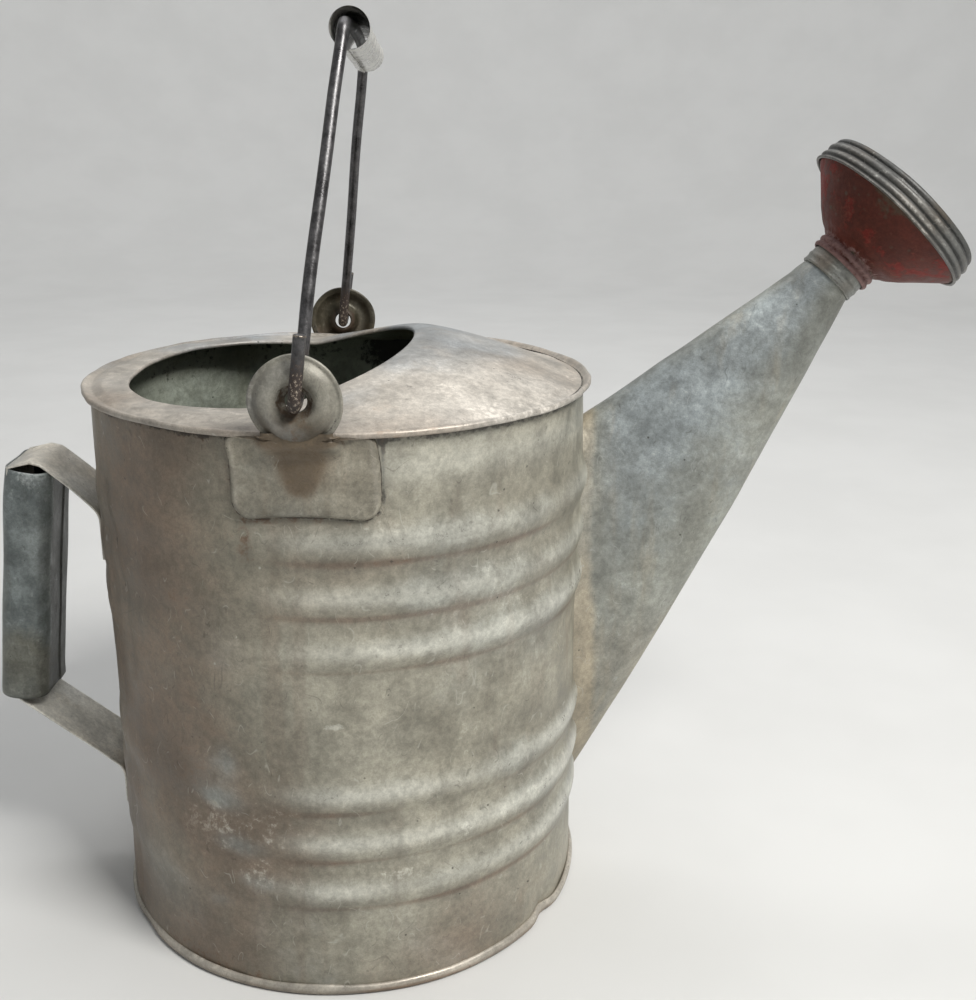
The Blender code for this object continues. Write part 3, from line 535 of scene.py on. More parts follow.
def foot_wave(angle, points):
    """The uneven roll of the foot, in metres outwards."""
    dents = spots(angle, 0.0, ((2.6, FOOT_DENT, 0.0, 7.0, 10.0), (0.8, -146.0, 0.0, 9.0, 10.0)))
    return 0.00035 * field(points, 0.020, 9) - MM * dents


def rim_drop(angle):
    """The rim's sag at the far side, in metres."""
    return -0.0028 * bell(turned(angle, 88.0), 0.0, 17.0)


def plate_distance(angle, height):
    """Distance in millimetres outwards from the near plate's outline on the wall."""
    arch = np.clip(np.abs((angle + EAR_MIDDLE) * DEGREE_MM) * MM / PLATE_ARCH_HALF, 0.0, 1.0)
    side = np.abs((angle - PLATE_MIDDLE) * DEGREE_MM) + (PLATE_CORNER - PLATE_HALF) / MM
    under = (PLATE_LOW + PLATE_CORNER + PLATE_ARCH * (1.0 - arch ** 2)) / MM - height
    outside = np.hypot(np.maximum(side, 0.0), np.maximum(under, 0.0))
    return outside + np.minimum(np.maximum(side, under), 0.0) - PLATE_CORNER / MM


def wall_marks(angle, height, points):
    """The wall's stains and wear at each point, with painted shade and painted highlights where light falls; the
    height is in millimetres.
    """
    # The crest mask lies on the upper slope just over each bead's crest; on the lit right side it makes the wall
    # cooler and paler there, a painted highlight.
    crest = bead_offset(height * MM - 0.0022)
    # Painted shade, with some brown grime: a line under each bead's crest on its lower slope, at the front.
    under_bead_grime_and_shade = sum(bell(height, bead / MM - 7.4, 1.7) for bead in BEADS)
    right = between(angle, -100.0, -70.0, -14.0, 30.0)
    front = between(angle, -108.0, -88.0, -14.0, 20.0)
    left = np.where(angle < -168.0, 0.5, fade(angle, -128.0, -92.0))
    edge = plate_distance(angle, height)
    # Browner on the left, away from the light, and less brown on the lit right: partly painted shade and light,
    # partly stain.
    warm = 0.20 - 0.22 * right + 0.42 * left + 0.25 * field(points, 0.026, 21) + 0.25 * fade(height, 8.0, 46.0)
    warm += 0.15 * smooth(angle, 20.0, 70.0) - 0.15 * right * crest + 0.55 * under_bead_grime_and_shade * front
    cool = 0.10 + 0.20 * field(points, 0.020, 22) + 0.25 * right * crest
    cool += spots(angle, height, (
        (0.45, -113.9, 114.0, 8.0, 10.0), (0.50, -116.0, 94.0, 14.0, 6.0), (0.55, -111.0, 73.0, 16.0, 6.0),
        (0.30, -108.0, 56.0, 15.0, 5.0), (0.25, -117.0, 42.0, 8.0, 5.0)))
    pale = 0.02 + 0.04 * crest * (1.0 + right) + 0.30 * bell(edge, 3.4, 1.5)
    # The bright spots at the dents at -88.7° and -108.9° are painted highlights; the others are pale oxide.
    pale += spots(angle, height, (
        (0.55, -76.5, 59.0, 9.0, 3.6), (0.30, -72.5, 66.0, 4.0, 6.0), (0.55, -61.0, 76.0, 3.4, 8.0),
        (0.45, -40.0, 77.0, 2.4, 6.0), (0.50, -50.5, 41.0, 3.0, 2.4), (0.75, -88.7, 133.6, 5.5, 2.0),
        (0.50, -108.9, 171.5, 2.4, 2.4), (0.14, -118.0, 84.0, 24.0, 9.0), (0.16, -55.0, 190.0, 30.0, 28.0),
        (0.15, -58.0, 120.0, 14.0, 22.0), (0.20, 70.0, 100.0, 22.0, 12.0), (0.18, 150.0, 60.0, 20.0, 16.0),
        (0.04, -122.0, 90.0, 9.0, 13.0), (0.04, -128.0, 74.0, 12.0, 6.0), (0.13, -118.0, 84.0, 34.0, 34.0),
        (0.20, -108.0, 70.0, 26.0, 22.0), (0.14, -100.0, 110.0, 22.0, 26.0)))
    rust = 0.05 + 0.12 * left * (1.0 + field(points, 0.018, 27)) + 0.22 * fade(height, 6.0, 16.0)
    rust += 0.35 * bell(edge, 1.2, 1.8) + 0.34 * under_bead_grime_and_shade * front * smooth(field(points, 0.012, 26), -0.9, 0.6)
    rust += spots(angle, height, (
        (0.55, -106.0, 210.0, 4.5, 11.0), (0.30, 180.0, 170.0, 16.0, 9.0), (0.30, 180.0, 40.0, 16.0, 9.0),
        (0.20, -94.0, 222.0, 26.0, 4.0)))
    # Painted shadow: near black just under the rim's lip; the plate's dark outline, specks, pits and scratches are
    # stains.
    dark = 0.04 + 0.65 * smooth(height, 252.5, 256.0) + 0.95 * bell(edge, 0.2, 0.9)
    dark += spots(angle, height, (
        (0.34, -48.6, 242.0, 2.4, 7.0), (0.34, -46.0, 230.0, 2.0, 6.0), (0.30, -28.0, 243.0, 4.0, 12.0),
        (0.25, -24.0, 222.0, 4.0, 16.0), (0.30, -164.0, 190.0, 9.0, 26.0), (0.28, -165.0, 60.0, 9.0, 20.0)))
    pits = ((-143.3, 30.1), (-137.4, 40.2), (-62.4, 26.4), (-44.3, 28.1), (-40.8, 28.2), (-83.3, 201.1),
            (-76.8, 205.6), (-67.3, 203.3), (-58.1, 38.1), (-96.0, 176.0))
    dark += spots(angle, height, [(0.65, *at, 1.2, 1.2) for at in pits])
    for strength, width, line in (
            (0.36, 1.3, ((-105.4, 218.0), (-106.4, 208.0), (-104.6, 199.0), (-105.4, 189.0))),
            (0.36, 0.8, ((-124.2, 222.9), (-121.0, 224.2), (-118.2, 224.6))), (0.42, 1.6, LONG_CREASE)):
        dark += strength * stroke(angle, height, line, width)
    # Painted highlight, not wear: lightens the upper slopes of the bead crests and a band near the top, on the lit
    # front.
    rubbed = crest ** 3 * (0.8 + 0.3 * field(points, 0.030, 25))
    wear_and_painted_sheen = front * (0.06 + 0.95 * rubbed + 0.45 * bell(height, 244.0, 7.0))
    return {"warm": warm, "cool": cool, "pale": pale, "dark": dark, "rust": rust, "wear_and_painted_sheen": np.clip(wear_and_painted_sheen, 0.0, 1.0)}


def inside_marks(angle, height, points):
    """The marks of the wall's inner side, with painted shade under the hood towards the spout and a painted shadow
    band under the cover.
    """
    noise = field(points, 0.022, 31)
    band = smooth(height, 236.0, 246.0)
    return {
        "warm": 0.15 + 0.3 * noise + 0.5 * fade(height, 5.0, 60.0) + 0.55 * band,
        "cool": 0.25 + 0.3 * field(points, 0.03, 32), "pale": 0.04 + 0.10 * noise,
        "dark": 0.06 + 0.15 * fade(height, 5.0, 25.0) + 1.9 * fade(np.abs(angle - 5.0), 62.0, 88.0) + 0.35 * band,
        "rust": 0.05 + 0.25 * fade(height, 5.0, 30.0), "wear_and_painted_sheen": 0.0}


def make_wall():
    inner_z = np.concatenate([np.linspace(0.0010, 0.0300, 5), np.linspace(0.0340, WALL_EDGE, 62)])
    outer_z = np.linspace(WALL_EDGE, 0.0012, 200)
    inner = len(inner_z)
    roll = 0.5 * SHEET
    over = np.radians(np.linspace(176.0, 4.0, 6))
    radius = np.concatenate([np.full(inner, WALL_RADIUS - SHEET), WALL_RADIUS - roll + roll * np.cos(over),
                             np.full(len(outer_z), WALL_RADIUS)])[:, None]
    height = np.concatenate([inner_z, WALL_EDGE + 0.0002 + roll * np.sin(over), outer_z])
    angle, z = np.meshgrid(np.linspace(-180.0, 180.0, 300, endpoint=False), height)
    points = polar(WALL_RADIUS, np.radians(angle), z)
    radius = radius + BEAD_HEIGHT * bead_offset(z) * (0.36 + 0.64 * smooth(angle, -118.0, -78.0))
    by_ears = np.clip(bell(angle, -EAR_MIDDLE, 17.0) + bell(angle, EAR_MIDDLE, 17.0), 0.0, 1.0)
    hold = fade(z, 0.236, 0.254) * (1.0 - 0.85 * by_ears * smooth(z, 0.205, 0.224))
    radius += wall_dents(angle, z / MM, points) * hold
    seam = between(angle, SEAM_ANGLE, SEAM_ANGLE + 0.5, SEAM_ANGLE + SEAM_SPAN, SEAM_ANGLE + SEAM_SPAN + 0.5)
    radius[inner + len(over):] += (0.0007 * seam * smooth(z, 0.005, 0.008))[inner + len(over):]
    z = z + smooth(z, 0.246, 0.2575) * (rim_drop(angle) + 0.0003 * field(points * [1.0, 1.0, 0.0], 0.016, 6))
    marks = wall_marks(angle, z / MM, points)
    for key, value in inside_marks(angle[:inner], z[:inner] / MM, points[:inner]).items():
        marks[key][:inner] = value
    rows = polar(radius, np.radians(angle), z)
    wall = surface("wall_sheet", rows, [BODY, INSIDE], "can", "body_wall", marks,
                   np.arange(len(z) - 1) < inner)
    cut_spout_window(wall)


def cut_spout_window(wall):
    """Opens the wall behind the spout with a slot that has round ends."""
    low, high, half, snap = 0.083, 0.192, 0.013, 0.0013
    bm = bmesh.new()
    bm.from_mesh(wall.data)
    chosen = set()
    for v in bm.verts:
        x, y, z = v.co
        if x < 0.10 or abs(y) > 0.02:
            continue
        middle = min(max(z, low), high)
        away = math.hypot(y, z - middle)
        if away - half < snap:
            chosen.add(v)
            if half - away < snap:
                v.co.y = y / away * half
                v.co.z = middle + (z - middle) / away * half
    gone = [f for f in bm.faces if all(v in chosen for v in f.verts)]
    bmesh.ops.delete(bm, geom=gone, context="FACES")
    edges = [e for e in bm.edges if e.is_boundary and e.verts[0].co.x > 0.10 and e.verts[0].co.z > 0.05]
    bmesh.ops.bridge_loops(bm, edges=edges)
    bm.to_mesh(wall.data)
    bm.free()


# Base plate rolled round the foot
def make_base():
    inside = WALL_RADIUS - SHEET - GAP
    curl = 0.0016
    bead = [(0.1146 + curl * math.cos(t), 0.0026 + 1.55 * curl * math.sin(t))
            for t in np.radians(np.linspace(100.0, -190.0, 20))]
    profile = np.array([
        (0.0, 0.0033), (0.03, 0.0034), (0.06, 0.0036), (0.09, 0.0036), (inside - 0.004, 0.0034), (inside, 0.0036),
        (inside, 0.0012), (0.1137, 0.0008), (WALL_RADIUS, 0.0046), *bead, (inside - 0.0012, 0.0001),
        (inside - 0.0022, 0.0010), (inside - 0.0024, 0.0025), (0.09, 0.0027), (0.06, 0.0025), (0.03, 0.0024),
        (0.0, 0.0024)])
    rows = turn(profile, 300)
    ring = smooth(profile[:, 0], 0.105, 0.1130)[:, None]
    ground = turn([(0.115, 0.0)], 300)
    rows[..., :2] *= (1.0 + ring * foot_wave(degrees_of(ground), ground) / np.maximum(across(rows), 0.01))[..., None]
    lift = 0.0005 * field(ground, 0.013, 12) * ring * smooth(profile[:, 1:], 0.002, 0.0045)
    rows[..., 2] = np.maximum(rows[..., 2] + lift, 0.0)
    worn = ring * smooth(profile[:, 1:], 0.0015, 0.004)
    # The rubbed top of the foot roll is paler from wear and gets a painted highlight.
    marks = {
        "warm": 0.45 + 0.35 * field(rows, 0.02, 41), "cool": 0.1,
        "pale": 0.06 + 0.20 * worn + 0.12 * field(rows, 0.012, 42), "dark": 0.08 + 0.16 * (1.0 - worn),
        "rust": 0.16 + 0.18 * field(rows, 0.015, 43), "wear_and_painted_sheen": 0.8 * worn}
    surface("foot_and_base", rows, [BASE], "can", "base_plate", marks)


# Top cover with its mouth and raised hood
def mouth_radius(a):
    """The mouth's edge as a distance from the can's axis at each angle."""
    t = np.linspace(-math.pi, math.pi, 1441)
    x = MOUTH_X + MOUTH_HALF_LENGTH * np.cos(t)
    y = MOUTH_HALF_WIDTH * np.sign(np.sin(t)) * np.abs(np.sin(t)) ** 0.89 * (1.0 - 0.07 * np.cos(t))
    angles = np.arctan2(y, x)
    order = np.argsort(angles)
    return np.interp(np.arctan2(np.sin(a), np.cos(a)), angles[order], np.hypot(x, y)[order])


def mouth_height(x):
    t = np.clip((x - HOOD_START_X) / (MOUTH_X + MOUTH_HALF_LENGTH - HOOD_START_X), 0.0, 1.0)
    return MOUTH_Z + HOOD_RISE * t ** 1.14


# The lip's radius and height, and how far it follows the groove inside it
LIP = np.array([
    (0.1150, 0.2581, 0.0), (0.1161, 0.2572, 0.0), (0.1166, 0.2570, 0.0), (0.1171, 0.2573, 0.0),
    (0.1174, 0.2580, 0.0), (0.1174, 0.2588, 0.0), (0.1170, 0.2595, 0.0), (0.1163, 0.2598, 0.0),
    (0.1155, 0.2596, 0.15), (0.1147, 0.2593, 0.5), (0.1139, 0.2590, 0.9)])
# The mouth's hem, from the cover's edge outwards and down
HEM = np.array([(-0.0004, -0.0003), (-0.0007, -0.0008), (-0.0007, -0.0014), (-0.0003, -0.0019), (0.0006, -0.0020),
                (0.0030, -0.0019), (0.0036, -0.0013)])


def make_cover():
    a = np.linspace(-math.pi, math.pi, 320, endpoint=False)
    degrees = np.degrees(a)
    mouth = mouth_radius(a)
    start, span = 0.1130, 46
    groove = 0.0012 * between(degrees, -52.0, -30.0, 60.0, 100.0) + 0.0003
    base_z = 0.2590 - groove
    r = start + np.linspace(0.0, 1.0, span)[:, None] * (mouth - start)
    slope = start - mouth - 0.0110
    share = np.clip((start - r) / slope, 0.0, 1.0)
    z = base_z + share * (mouth_height(mouth * np.cos(a)) - base_z)
    z += 0.0048 * smooth(slope, 0.0, 0.06) * share * (1.0 - share)
    for _ in range(5):
        z[1:-1] = 0.25 * z[:-2] + 0.5 * z[1:-1] + 0.25 * z[2:]
    r = np.vstack([LIP[:, :1] + 0.0 * a, r])
    z = np.vstack([LIP[:, 1:2] - groove * LIP[:, 2:], z])
    body = slice(len(LIP), None)
    points = polar(r, a, z)
    knocks = 0.00050 * field(points * [1.0, 1.0, 0.2], 0.0085, 51) * smooth(r, 0.092, 0.106)
    soft = 0.00045 * field(points * [1.0, 1.0, 0.3], 0.024, 52) * (1.0 - 0.5 * fade(r - mouth, 0.0, 0.004))
    z[body] += (fade(r, 0.1085, 0.1128) * (knocks + soft))[body]
    outer = smooth(r, 0.1140, 0.1160)
    r += 0.00025 * outer * field(points * [1.0, 1.0, 0.0], 0.0075, 53)
    z += 0.00022 * outer * field(points * [1.0, 1.0, 0.0], 0.009, 59)
    z += rim_drop(degrees) * smooth(r, 0.085, 0.110)
    under = len(LIP) + np.rint(np.linspace(0.92, 0.0, 14) * (span - 1)).astype(int)
    r = np.vstack([r, r[-1] + HEM[:, :1], r[under] - 0.0001])
    z = np.vstack([z, z[-1] + HEM[:, 1:], z[under] - SHEET])
    rows = polar(r, a, z)
    angle = degrees_of(rows)
    radius = across(rows)
    edge = smooth(radius, 0.098, 0.111)
    hood = smooth(rows[..., 0], -0.005, 0.035)
    # Painted highlight: the cover's outer part on the right front, the side towards the key light, is paler and gets
    # sheen.
    lit_side = bell(angle, -42.0, 26.0)
    # Painted shadow with brown stain on the rows under the lip, and a little painted shade with stain in the groove
    # inside it.
    under_lip_stain_and_shadow = (np.arange(len(rows)) < 3)[:, None]
    lip_edge = smooth(radius, 0.1150, 0.1162) * smooth(field(rows, 0.006, 50), -0.5, 0.6)
    groove_stain_and_shade = bell(radius, 0.1132, 0.0012) * groove / 0.0022
    marks = {
        "warm": 0.34 + 0.26 * field(rows, 0.022, 54) + 0.25 * edge,
        "cool": 0.05 + 0.85 * smooth(z, 0.262, 0.277) * hood + 0.20 * field(rows, 0.016, 55)
        + 0.22 * smooth(angle, 20.0, 60.0),
        "pale": 0.08 + 0.34 * lit_side * edge + 0.10 * field(rows, 0.010, 56) + 0.10 * fade(r - mouth, 0.0, 0.012),
        "dark": 0.04 + 0.95 * under_lip_stain_and_shadow + 0.04 * groove_stain_and_shade + 0.16 * lip_edge,
        "rust": 0.04 + 0.14 * smooth(radius, 0.1085, 0.1140) + 0.10 * lip_edge + 0.45 * under_lip_stain_and_shadow + 0.12 * groove_stain_and_shade
        + 0.08 * field(rows, 0.012, 57),
        "wear_and_painted_sheen": np.clip(0.10 * hood + 0.5 * lit_side + 0.2 * field(rows, 0.014, 58), 0.0, 1.0)}
    surface("cover_sheet", rows, [COVER, INSIDE], "can", "top_cover", marks,
            np.arange(len(rows) - 1) >= len(LIP) + span + 5, closed=False)


# Ears: plate and neck in one, and the stamped disc
def ear_half_width(z):
    """Half the plate's width, with round lower corners and small shoulders at the wall's edge."""
    if z < PLATE_LOW + PLATE_CORNER:
        corner, into = PLATE_CORNER, PLATE_LOW + PLATE_CORNER - z
    elif z < WALL_EDGE:
        corner, into = PLATE_SHOULDER, max(0.0, z - WALL_EDGE + PLATE_SHOULDER)
    else:
        return NECK_HALF
    return PLATE_HALF - corner + math.sqrt(max(0.0, corner ** 2 - into ** 2))


def ear_plate_rows(eye_z):
    """Closed loops round the plate and neck, from the plate's arched foot up to the disc."""
    corner = PLATE_LOW + PLATE_CORNER - PLATE_CORNER * np.cos(np.linspace(0.0, 0.5 * math.pi, 9))
    shoulder = WALL_EDGE - PLATE_SHOULDER + PLATE_SHOULDER * np.sin(np.linspace(0.0, 0.5 * math.pi, 6))
    plate = np.concatenate([corner, np.linspace(PLATE_LOW + 0.0095, WALL_EDGE - 0.0048, 14), shoulder])
    neck = np.linspace(WALL_EDGE + 0.0001, eye_z - 0.0118, 16)
    fillet = NECK_HALF + 0.0118 * fade(neck, WALL_EDGE - 0.0002, WALL_EDGE + 0.0022) ** 3
    z = np.concatenate([plate, neck])[:, None]
    half = np.concatenate([[ear_half_width(height) for height in plate], fillet])[:, None]
    rim = np.array([0.92, 0.95, 0.975, 0.992, 1.0])
    front = np.concatenate([-rim[::-1], np.linspace(-0.88, 0.88, 19), rim])
    shares = np.concatenate([front, np.linspace(0.98, -0.98, 9)])
    x = shares * half
    ramp_low = eye_z - 0.0164 - 0.0072
    lift = PLATE_ARCH * (1.0 - np.minimum(1.0, np.abs(x) / PLATE_ARCH_HALF) ** 2)
    wall = np.sqrt((WALL_RADIUS + GAP) ** 2 - x * x)
    lean = smooth(z, ramp_low, ramp_low + 0.0062) * fade(np.abs(x), NECK_HALF, 0.0166)
    to_edge = np.minimum(half - np.abs(x), z - PLATE_LOW)
    edge = np.clip(to_edge / 0.0016, 0.0, 1.0)
    thick = 0.0002 + 0.0013 * np.sqrt(1.0 - (1.0 - edge) ** 2) + 0.0007 * smooth(z, 0.2500, 0.2570)
    thick += 0.00042 * bell(to_edge, 0.0020, 0.0012)
    y = wall + lean * (EAR_PLANE - wall) + thick * (np.arange(len(shares)) < len(front))
    rows = np.stack([x + PLATE_SHIFT * fade(z, 0.242, 0.256), -y, z + lift * fade(z, PLATE_LOW, PLATE_LOW + 0.012)],
                    axis=-1)
    rows[..., 1] -= 0.00018 * field(rows, 0.009, 61) * smooth(rows[..., 2], 0.226, 0.230)
    first = rows[:1].copy()
    first[..., 1] = -np.sqrt((WALL_RADIUS + GAP) ** 2 - first[..., 0] ** 2)
    return np.concatenate([first, rows])


def ear_disc_rows(eye_z):
    """The stamped disc: edge band, ring and funnel round the eye, front and back."""
    front = ((0.0174, 0.0), (0.0180, 0.0003), (0.01815, 0.0008), (0.0178, 0.0013), (0.0172, 0.00145),
             (0.0166, 0.0013), (0.0160, 0.00145), (0.0152, 0.0021), (0.0141, 0.0031), (0.0128, 0.0038),
             (0.0113, 0.0042), (0.0098, 0.0042), (0.0084, 0.0037), (0.0073, 0.0027), (0.0063, 0.0012),
             (0.0054, 0.0001), (0.0047, -0.0005), (0.0043, -0.0007))
    back = ((0.0042, -0.0012), (0.0046, -0.0016), (0.0056, -0.0011), (0.0066, 0.0002), (0.0078, 0.0017),
            (0.0090, 0.0029), (0.0104, 0.0033), (0.0120, 0.0031), (0.0138, 0.0019), (0.0154, 0.0005),
            (0.0168, 0.0001), (0.0174, 0.0))
    rows = turn(np.vstack([rounded(front, 44), rounded(back, 26)]), 112)
    out = smooth(across(rows), 0.006, 0.017)
    rows = np.stack([rows[..., 0], -EAR_PLANE - rows[..., 2], eye_z + rows[..., 1]], axis=-1)
    rows[..., 1] += 0.00030 * out * field(rows, 0.008, 62)
    wave = 1.0 + 0.008 * out * field(rows * [1.0, 0.0, 1.0], 0.006, 63)
    rows[..., 0] *= wave
    rows[..., 2] = eye_z + (rows[..., 2] - eye_z) * wave
    return rows


def make_ear(name, eye_z, angle, mat, disc_mat, dirt):
    spin = Matrix.Rotation(angle, 4, "Z")
    plate = ear_plate_rows(eye_z)
    x, z = plate[..., 0], plate[..., 2]
    cone = np.exp(-(x / (0.0045 + 0.0100 * np.clip((z - 0.232) / 0.025, 0.0, 1.0))) ** 4) * smooth(z, 0.229, 0.237)
    to_side = PLATE_HALF - np.abs(x - PLATE_SHIFT * fade(z, 0.242, 0.256))
    border = np.clip(1.0 - np.minimum(to_side, z - PLATE_LOW) / 0.0009, 0.0, 1.0) * (z < 0.2560)
    # Painted shade, with brown stain, on the ledge where the neck leaves the plate under the disc.
    neck = smooth(z, 0.2535, 0.2580) * fade(np.abs(x), 0.0140, 0.0180)
    noise = field(plate, 0.008, 64)
    # Painted highlight along the plate's sides, just inside its edges.
    marks = {
        "warm": 0.18 + 0.85 * cone + 0.9 * neck + 0.2 * noise + dirt,
        "cool": 0.20 + 0.25 * field(plate, 0.012, 65) - 0.3 * cone,
        "pale": 0.10 + 0.10 * noise, "dark": 0.05 + 0.70 * border + 0.20 * neck,
        "rust": 0.04 + 0.60 * cone + 0.45 * neck + dirt, "wear_and_painted_sheen": 0.40 * bell(to_side, 0.0022, 0.0010)}
    surface(name + "_plate", place(plate, spin), [mat], "can", name, marks)
    disc = ear_disc_rows(eye_z)
    r = np.hypot(disc[..., 0], disc[..., 2] - eye_z)
    noise = field(disc, 0.006, 66)
    crest = bell(r, 0.0115, 0.0022)
    band = smooth(r, 0.0150, 0.0165)
    funnel = fade(r, 0.0060, 0.0085)
    low = smooth(eye_z - disc[..., 2], -0.004, 0.014)
    # Painted highlight on the left of the disc's raised ring.
    marks = {
        "warm": 0.22 + 0.80 * low * (1.0 - 0.5 * band) + 0.2 * noise + dirt, "cool": 0.25 + 0.2 * noise,
        "pale": 0.08 + 0.14 * crest + 0.34 * band * smooth(noise, -0.2, 0.8) * (1.0 - low),
        "dark": 0.05 + 0.50 * funnel + 0.30 * band * smooth(-noise, 0.2, 0.9) + 0.25 * bell(r, 0.0163, 0.0006),
        "rust": 0.06 + 0.55 * funnel + 0.42 * low * (1.0 - 0.6 * band) + dirt,
        "wear_and_painted_sheen": 0.45 * bell(disc[..., 0], -0.0085, 0.004) * crest}
    surface(name + "_disc", place(disc, spin), [disc_mat], "can", None, marks)


# Bail and its tube grip
def bail_matrix():
    turn_by = Matrix.Rotation(BAIL_ROLL, 4, "X") @ Matrix.Rotation(BAIL_TILT, 4, "Y")
    return Matrix.Translation((BAIL_X, 0.0, BAIL_AXIS_Z)) @ turn_by


def arc(y, z, radius, *degrees):
    return [(y + radius * math.cos(t), z + radius * math.sin(t)) for t in np.radians(degrees)]


def bail_path():
    """The wire's middle line: hook, eye, arm, shoulder and crown, and the same again on the far side."""
    hook = EAR_PLANE + 0.0042 + 0.0008 + WIRE
    arm = EAR_PLANE - 0.0056
    run, run_end, bend, top = 0.0615, 0.0685, 0.0040, 0.0070
    shoulder = BAIL_ARM - BAIL_CROWN
    half = [(hook, 0.0272), (hook, 0.020), (hook, 0.012), (hook, 0.0055)]
    half += arc(hook - bend, bend, bend, -20.0, -45.0, -70.0, -90.0)
    half += arc(arm + bend, bend, bend, -90.0, -112.0, -135.0, -160.0)
    for t in np.linspace(0.0, 1.0, 12)[1:]:
        half.append((arm - (arm - run_end) * t ** 1.4, bend + t * (shoulder - top - bend)))
    half += arc(run, shoulder - top, top, 35.0, 60.0, 85.0)
    half += [(run * s, BAIL_ARM + BAIL_CROWN * (1.0 - 2.0 * s * s)) for s in (0.75, 0.5, 0.25)]
    near = [(0.0, -y, z) for y, z in half]
    far = [(0.0, y, z) for y, z in half[::-1]]
    path = rounded(near + [(0.0, 0.0, BAIL_ARM + BAIL_CROWN)] + far, 420)
    path[:, 0] += 0.00045 * field(path, 0.020, 71) * between(path[:, 2], 0.015, 0.04, 0.11, 0.135)
    return path


def make_bail():
    rows = tube(bail_path(), WIRE, 20)
    low = fade(rows[..., 2], 0.004, 0.030)
    tip = np.zeros(rows.shape[:2])
    tip[[2, 3, -4, -3]] = 1.0
    marks = {"rust": 0.08 + 0.95 * low + 0.10 * field(rows, 0.01, 72), "pale": 0.05 + 0.33 * low + 0.6 * tip}
    surface("bail_wire_round", place(rows, bail_matrix()), [WIRE_STEEL], "bail", "bail_wire", marks)


def make_grip():
    """A tin sheet rolled a little more than once round, open at both ends."""
    inner, outer, half = 0.0076, 0.0077, 0.0600
    hang = inner - WIRE - GAP - BAIL_CROWN
    hang_angle, seam = math.radians(32.0), math.radians(250.0)
    sweep = np.linspace(0.0, 2.0 * math.pi + 0.35, 84)
    grow = 0.0005 * smooth(sweep, 2.0 * math.pi - 0.5, 2.0 * math.pi)
    end = half - np.array([0.003, 0.0012, 0.0])
    along = np.concatenate([-end[::-1], np.linspace(-half + 0.008, half - 0.008, 34), end])[:, None]
    radius = np.concatenate([inner + grow, (outer + grow)[::-1]]) + 0.0003 * np.exp((np.abs(along) - half) / 0.002)
    rows = polar(radius, np.concatenate([sweep, sweep[::-1]]) + seam, along)[..., [0, 2, 1]]
    shape = 1.0 + 0.020 * field(rows * [0.3, 1.0, 0.3], 0.014, 73)
    rows[..., 2] *= shape
    rows[..., 0] *= 2.0 - shape
    rows += np.array([hang * math.sin(hang_angle), 0.0, BAIL_ARM - hang * math.cos(hang_angle)])
    inside = np.arange(rows.shape[1]) < len(sweep)
    marks = {"dark": 0.12 + 0.30 * inside * smooth(-field(rows, 0.02, 75), -1.2, 0.4) + 0.18 * field(rows, 0.008, 74)}
    surface("grip_tube", place(rows, bail_matrix()), [GRIP_TIN], "grip", "bail_grip", marks)


# Rear handle
def sleeve_outer_x(z):
    return -0.1590 - (0.2000 - z) * math.tan(SLEEVE_TILT)


def strap_points():
    """The strap's middle line as x, z and how far its section bends round the wall."""
    tab = -STRAP_RADIUS
    top = sleeve_outer_x(0.2110) + 0.0024
    low = sleeve_outer_x(0.1070) + 0.0050
    return [
        (tab, 0.1720, 1.0), (tab, 0.1800, 1.0), (tab, 0.1900, 1.0), (tab - 0.0006, 0.1945, 0.9),
        (tab - 0.0028, 0.1984, 0.6), (tab - 0.0100, 0.2062, 0.2), (top + 0.0176, 0.2168, 0.0),
        (top + 0.0145, 0.2190, 0.0), (top + 0.0110, 0.2199, 0.0), (top + 0.0028, 0.2199, 0.0),
        (top + 0.0004, 0.2182, 0.0), (top, 0.2110, 0.0), (0.5 * (top + low), 0.1590, 0.0), (low, 0.1070, 0.0),
        (low + 0.0002, 0.1023, 0.0), (low + 0.0022, 0.0996, 0.0), (low + 0.011, 0.0920, 0.0),
        (tab - 0.0150, 0.0721, 0.2), (tab - 0.0034, 0.0622, 0.7), (tab - 0.0008, 0.0585, 0.9), (tab, 0.0540, 1.0),
        (tab, 0.0470, 1.0), (tab, 0.0400, 1.0)]


def make_strap():
    path = rounded(strap_points(), 190)
    x, z, curved = path.T[..., None]
    tangent = unit(np.gradient(path[:, :2], axis=0))
    half = 0.0180
    cut = [(-1.0, 0.0), (-0.995, 0.7), (-0.975, 1.0), (-0.93, 1.25), (-0.88, 1.0)]
    top = cut + [(s, 1.0) for s in np.linspace(-0.8, 0.8, 15)] + [(-s, t) for s, t in cut[::-1]]
    share, thick = np.array(top + [(s, -t) for s, t in top[1:-1][::-1]]).T
    y = share * half
    bow = curved * (STRAP_RADIUS - np.sqrt(STRAP_RADIUS ** 2 - y * y))
    thick = thick * STRAP_THICK
    rows = np.stack([x + bow - tangent[:, 1:] * thick, y + 0.0 * x, z + tangent[:, :1] * thick], axis=-1)
    wave = 0.00035 * field(rows, 0.012, 81)
    free = smooth(-rows[..., 0], 0.120, 0.128)
    rows[..., 0] += wave * free
    rows[..., 1] += 0.0006 * field(rows * [1.0, 0.0, 1.0], 0.03, 82) * free
    ends = rows[[0, -1]]
    ends[..., 2] = ends[..., 2].mean(axis=1, keepdims=True)
    rows = np.concatenate([ends[:1], rows, ends[1:]])
    edge = smooth(np.abs(rows[..., 1]), 0.0155, 0.0175)
    # The strap's long edges are paler from wear and get a painted sheen.
    marks = {
        "warm": 0.40 + 0.3 * field(rows, 0.016, 83), "cool": 0.25 + 0.3 * field(rows, 0.014, 84),
        "pale": 0.10 + 0.24 * edge + 0.12 * field(rows, 0.008, 85),
        "dark": 0.14 + 0.15 * smooth(-rows[..., 0], 0.150, 0.156),
        "rust": 0.14 + 0.20 * smooth(rows[..., 0], -0.125, -0.116), "wear_and_painted_sheen": 0.3 * edge}
    surface("strap_sheet", rows, [STRAP], "can", "handle_strap", marks)


